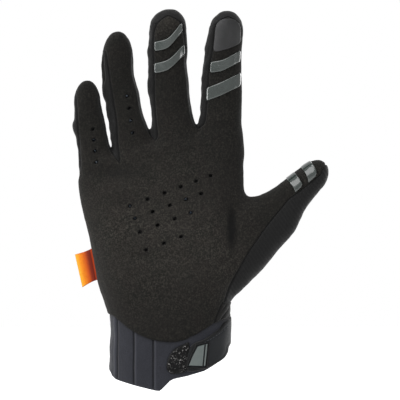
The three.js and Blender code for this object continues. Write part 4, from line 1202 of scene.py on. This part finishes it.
def buildPatch():
    finger = fingers["index"]
    half = finger["width"] / 2
    line = curved([(across * half, along * finger["length"]) for across, along in patch["outline"]], steps=5,
                  closed=True)

    def region(points):
        along, across, behind = fingerPlace("index", *points.T)
        return np.minimum(insideOutline(across, along * finger["length"], line), -behind)

    raised("touch_patch.film", region, "touch_patch", "pad", "film", patch["sink"],
           patch["height"] - patch["sink"], patch["edge"], grain=0.45, shade=0.2)


# The strap and what lies on it, as shares of half the cuff's width and of its height
strapSpec = {
    "front": [(0.40, 0.635), (0.58, 0.69), (0.80, 0.805), (0.94, 0.915), (1.3, 1.02), (1.3, 0.80),
              (1.0, 0.60), (0.955, 0.50), (0.86, 0.405), (0.58, 0.30), (0.335, 0.265), (0.262, 0.31),
              (0.268, 0.42), (0.32, 0.56)],
    "back": [(1.3, 1.02), (0.5, 0.87), (-0.28, 0.80), (-0.38, 0.70), (-0.38, 0.52), (-0.28, 0.44),
             (0.5, 0.50), (1.3, 0.80)],
    "tip": [(0.312, 0.642), (0.212, 0.622), (0.072, 0.562), (-0.013, 0.472), (-0.056, 0.352), (-0.038, 0.277),
            (0.042, 0.240), (0.172, 0.247), (0.272, 0.282), (0.302, 0.462)],
    "badge": [(0.560, 0.622), (0.448, 0.595), (0.365, 0.467), (0.303, 0.346), (0.526, 0.338)],
    "stripe": [(0.608, 0.628), (0.579, 0.626), (0.544, 0.340), (0.572, 0.338)],
    "frame": [(0.646, 0.660), (0.415, 0.625), (0.323, 0.467), (0.258, 0.310), (0.603, 0.304)],
    "frameInner": [(0.622, 0.640), (0.436, 0.608), (0.348, 0.467), (0.286, 0.330), (0.582, 0.324)],
    "thick": 1.7, "edge": 1.1, "sink": 0.1,
    "channelDepth": 0.22, "channelPlace": 2.1, "channelWidth": 0.5, "unevenness": 0.1,
    "tipHeight": 1.15, "tipEdge": 0.9, "hookPitch": 0.95, "hookHeight": 0.22,
    "frameHeight": 0.75, "frameEdge": 0.5,
}


def strapOutline(key, smooth=True):
    return wristCurve(strapSpec[key], steps=5, closed=True) if smooth else np.array(
        [wristPoint(*share) for share in strapSpec[key]])


def buildStrap():
    spec = strapSpec
    front, back = strapOutline("front"), strapOutline("back")
    ground = -glove["cuffSink"] - spec["sink"]

    def region(points):
        x, y, z = points.T
        behind = smoothStep(y, -3, 3)
        return insideOutline(x, z, front) * (1 - behind) + insideOutline(x, z, back) * behind

    def groove(points, value):
        # a stitched channel inside the strap's edge
        away = (value - spec["channelPlace"]) / spec["channelWidth"]
        channel = -spec["channelDepth"] * np.exp(-(away ** 2))
        return channel + spec["unevenness"] * ripple(points, wave=8, seed=41) * smoothStep(value, 0, 2)

    raised("wrist_strap.cloth", region, "wrist_strap", "webbing", "strapCloth", ground, spec["thick"],
           spec["edge"], grain=0.6, levels=1, relief=groove, shade=1.25)
    tip = strapOutline("tip")

    def hooks(points, value):
        x, _, z = points.T
        rising = np.sin(2 * np.pi * (x + z * 0.25) / spec["hookPitch"])
        falling = np.sin(2 * np.pi * (z - x * 0.25) / spec["hookPitch"])
        return spec["hookHeight"] * np.clip(rising * falling, 0, 1) ** 0.5 * smoothStep(value, 0.4, 1.2)

    raised("strap_hook_tip.plastic", lambda p: np.minimum(insideOutline(p[:, 0], p[:, 2], tip), -p[:, 1]),
           "strap_hook_tip", "hook", "hook", ground, spec["tipHeight"], spec["tipEdge"], grain=0.3, levels=2,
           relief=hooks, shade=0.8)
    top = ground + spec["thick"]
    outer, inner = strapOutline("frame", False), strapOutline("frameInner", False)

    def frameRegion(points):
        x, y, z = points.T
        ring = np.minimum(insideOutline(x, z, outer), -insideOutline(x, z, inner))
        return np.minimum(ring, -y)

    raised("strap_badge_frame.rubber", frameRegion, "strap_badge_frame", "hook", "rubber", top - spec["sink"],
           spec["frameHeight"], spec["frameEdge"], grain=0.2)
    for key, node in (("badge", "strap_badge"), ("stripe", "strap_badge_stripe")):
        line = strapOutline(key, False)
        raised(node + ".rubber", lambda p: np.minimum(insideOutline(p[:, 0], p[:, 2], line), -p[:, 1]), node,
               "badge", "badge", top - spec["sink"], height=0.6, edge=0.35, grain=0.2, shade=0.15)


def stitchRow(line, lift, spec):
    # short rounded stitches, laid end to end along a line on the palm side
    line = np.asarray(line)
    run = np.concatenate([[0], np.cumsum(np.hypot(*np.diff(line, axis=0).T))])
    points, faces = [], []
    sides, rings = 8, 7
    for start in np.arange(spec["gap"], run[-1] - spec["long"], spec["long"] + spec["gap"]):
        ends = [(np.interp(start + d, run, line[:, 0]),
                 np.interp(start + d, run, line[:, 1])) for d in (0, spec["long"])]
        (a, way), (b, _) = onFront(*ends[0]), onFront(*ends[1])
        if a is None or b is None:
            continue
        along = (b - a).normalized()
        side = along.cross(way).normalized()
        first = len(points)
        for i in range(rings):
            t = i / (rings - 1)
            thick = spec["thick"] / 2 * math.sqrt(max(1 - (2 * t - 1) ** 4, 0.04))
            sag = spec["sink"] * (2 * t - 1) ** 2
            middle = a.lerp(b, t) + way * (lift + spec["thick"] * 0.2 - sag)
            for j in range(sides):
                turn = 2 * math.pi * j / sides
                points.append(middle + (side * math.cos(turn) + way * math.sin(turn)) * thick)
        for i in range(rings - 1):
            for j in range(sides):
                p, q = first + i * sides + j, first + i * sides + (j + 1) % sides
                faces += [(p, q, q + sides), (p, q + sides, p + sides)]
        for j in range(1, sides - 1):
            last = first + (rings - 1) * sides
            faces += [(first, first + j + 1, first + j), (last, last + j, last + j + 1)]
    return points, faces


def buildStitches():
    spec = {"long": 1.15, "gap": 0.8, "thick": 0.34, "sink": 0.22}
    top = -glove["cuffSink"] - strapSpec["sink"] + strapSpec["thick"]
    upper = wristCurve([(0.44, 0.605), (0.58, 0.652), (0.80, 0.755), (0.95, 0.84), (1.0, 0.865)])
    points, faces = stitchRow(upper, top, spec)
    piece = meshObject("wrist_strap.stitches", points, faces, materials["thread"])
    dress(piece, "webbing")
    print("stitches made")


# The lining: where it lies behind the holes, and how far it rises at those that show it
lining = {
    "depth": 2.9, "thick": 0.45, "rise": 1.9, "spot": 0.62,
    "palm": [(-0.80, 0.30), (0.50, 0.30), (0.62, 0.82), (-0.20, 0.90), (-0.95, 0.74)],
    "fingerTop": 0.62, "fingerSide": 0.5,
}


def buildLining():
    line = np.array([palmPoint(*share) for share in lining["palm"]])

    def region(points):
        x, y, z = points.T
        found = insideOutline(x, z, line)
        for name in ("ring", "little"):
            along, across, _ = fingerPlace(name, x, y, z)
            half = lining["fingerSide"] * fingers[name]["width"] / 2
            ends = np.minimum(along, lining["fingerTop"] - along) * fingers[name]["length"]
            found = np.maximum(found, np.minimum(half - np.abs(across), ends))
        return np.minimum(found, -y - 3)

    def nearGlints(points):
        away = np.full(len(points), 1e9)
        for number in perforations["glints"]:
            x, z = holes[number]
            away = np.minimum(away, np.hypot(points[:, 0] - x, points[:, 2] - z))
        return away < 1.6

    points, tris, value, normal = cutPanel(region, grain=0.35, band=0.2, extra=nearGlints)
    glint = np.zeros(len(points))
    for number, strength in perforations["glints"].items():
        x, z = holes[number]
        dx, dz = points[:, 0] - x + 0.22, points[:, 2] - z - 0.22
        long = (dx + dz) / math.sqrt(2)
        wide = (dx - dz) / math.sqrt(2)
        glint = np.maximum(glint, strength * np.exp(-(long / 0.85) ** 2 - (wide / lining["spot"]) ** 2))
    outer = -lining["depth"] + lining["rise"] * glint
    outline = closedWall(points, tris, normal, outer, outer - lining["thick"])
    # The glint column paints the lining pale at these holes, a painted highlight.
    piece = meshObject("palm_lining.mesh", *outline, materials["lining"],
                       glint=doubled(np.clip(glint * 1.4, 0, 1)))
    dress(piece, "mesh", "palm_lining")
    print("lining made,", len(outline[1]), "triangles")


# The ribbon: corners of its front, seen from the palm side, as shares of half the palm's width and of its
# height
ribbon = {
    "seam": [(-0.955, 0.365), (-0.882, 0.188)], "fold": [(-1.161, 0.326), (-1.070, 0.150)],
    "thick": 0.45, "loop": 1.1, "bow": 0.9, "tuck": 0.13, "columns": 34, "rows": 28,
}


def buildLabel():
    spec = ribbon
    seam = [np.array(palmPoint(*share)) for share in spec["seam"]]
    fold = [np.array(palmPoint(*share)) for share in spec["fold"]]
    layers = []
    reaches = []
    for side in (0, 1):
        lift = spec["thick"] * side
        for i in range(spec["columns"] + 1):
            t = i / spec["columns"]  # from the seam in front, round the fold, back to the seam behind
            out = 1 - abs(2 * t - 1)
            bend = math.sin(math.pi / 2 * min(1, (1 - out) * 5))
            front = (1 if t < 0.5 else -1) * bend
            reach = out * (1 + spec["tuck"]) - spec["tuck"]
            for j in range(spec["rows"] + 1):
                v = j / spec["rows"]
                a = seam[0] + (seam[1] - seam[0]) * v
                b = fold[0] + (fold[1] - fold[0]) * v
                x, z = a + (b - a) * reach
                bow = spec["bow"] * math.sin(math.pi * out) * (1 if t < 0.5 else -0.8)
                wave = 0.5 * math.sin(math.pi * out * 1.3) * (v - 0.5) * 2
                y = -front * (spec["loop"] + bow * 0.6 - lift) - 0.5 * math.sin(3.0 * v) * out
                inward = lift * (1 - bend)
                layers.append((x + inward * 0.93, y, z + wave * 0.8 + inward * 0.3))
                reaches.append(max(reach, 0))
    rows = spec["rows"] + 1
    size = (spec["columns"] + 1) * rows
    faces = []

    def quad(a, b, c, d):
        faces.extend([(a, b, c), (a, c, d)])

    for i in range(spec["columns"]):
        for j in range(spec["rows"]):
            p = i * rows + j
            quad(p, p + rows, p + rows + 1, p + 1)
            quad(size + p + 1, size + p + rows + 1, size + p + rows, size + p)
        for j, turn in ((0, 1), (spec["rows"], 0)):
            p, q = i * rows + j, (i + 1) * rows + j
            quad(*((p, p + size, q + size, q) if turn else (p, q, q + size, p + size)))
    for i, turn in ((0, 0), (spec["columns"], 1)):
        for j in range(spec["rows"]):
            p, q = i * rows + j, i * rows + j + 1
            quad(*((p, q, q + size, p + size) if not turn else (p, p + size, q + size, q)))
    edge = np.zeros(2 * size)
    for j in (0, spec["rows"]):
        edge[j::rows] = 0.35
    piece = meshObject("side_label.ribbon", np.array(layers), np.array(faces), materials["ribbon"],
                       reach=reaches, seam=edge)
    dress(piece, "ribbon", "side_label")
    print("label made")


buildPalm()
for panelName, panelSpec in knitPanels.items():
    buildKnit(panelName, panelSpec)
buildCuff()
buildGather()
buildBars()
buildPatch()
buildStrap()
buildStitches()
buildLining()
buildLabel()

# The camera's place
view = {"distance": 1.6, "aim": (18.35, 117.2), "span": 248.0}


def buildStudio():
    scene = bpy.context.scene
    world = bpy.data.worlds.new("studio")
    scene.world = world
    world.use_nodes = True
    world.node_tree.nodes["Background"].inputs["Color"].default_value = (1, 1, 1, 1)
    world.node_tree.nodes["Background"].inputs["Strength"].default_value = studio["world"]
    half, low = studio["floorSize"] / 2, -studio["floorDrop"]
    corners = np.array([(-half, -half, low), (half, -half, low), (half, half, low), (-half, half, low)])
    meshObject("floor", corners, np.array([[0, 1, 2, 3]]), floorMaterial(), smooth=False)
    aim = Vector((0.0, 0.0, 0.12))
    for name, place, (wide, tall), watts in studio["lamps"]:
        data = bpy.data.lights.new(name, "AREA")
        data.shape = "RECTANGLE"
        data.size, data.size_y = wide, tall
        data.energy = watts
        lamp = bpy.data.objects.new(name, data)
        lamp.location = place
        lamp.rotation_euler = (aim - Vector(place)).to_track_quat("-Z", "Y").to_euler()
        scene.collection.objects.link(lamp)
    data = bpy.data.cameras.new("camera")
    data.sensor_width = 36
    data.lens = 36 * view["distance"] / (view["span"] * mm)
    data.clip_end = 100
    camera = bpy.data.objects.new("camera", data)
    camera.location = (view["aim"][0] * mm, -view["distance"], view["aim"][1] * mm)
    camera.rotation_euler = (math.radians(90), 0, 0)
    scene.collection.objects.link(camera)
    scene.camera = camera
    scene.view_settings.view_transform = "Standard"
    print("studio made")


buildStudio()
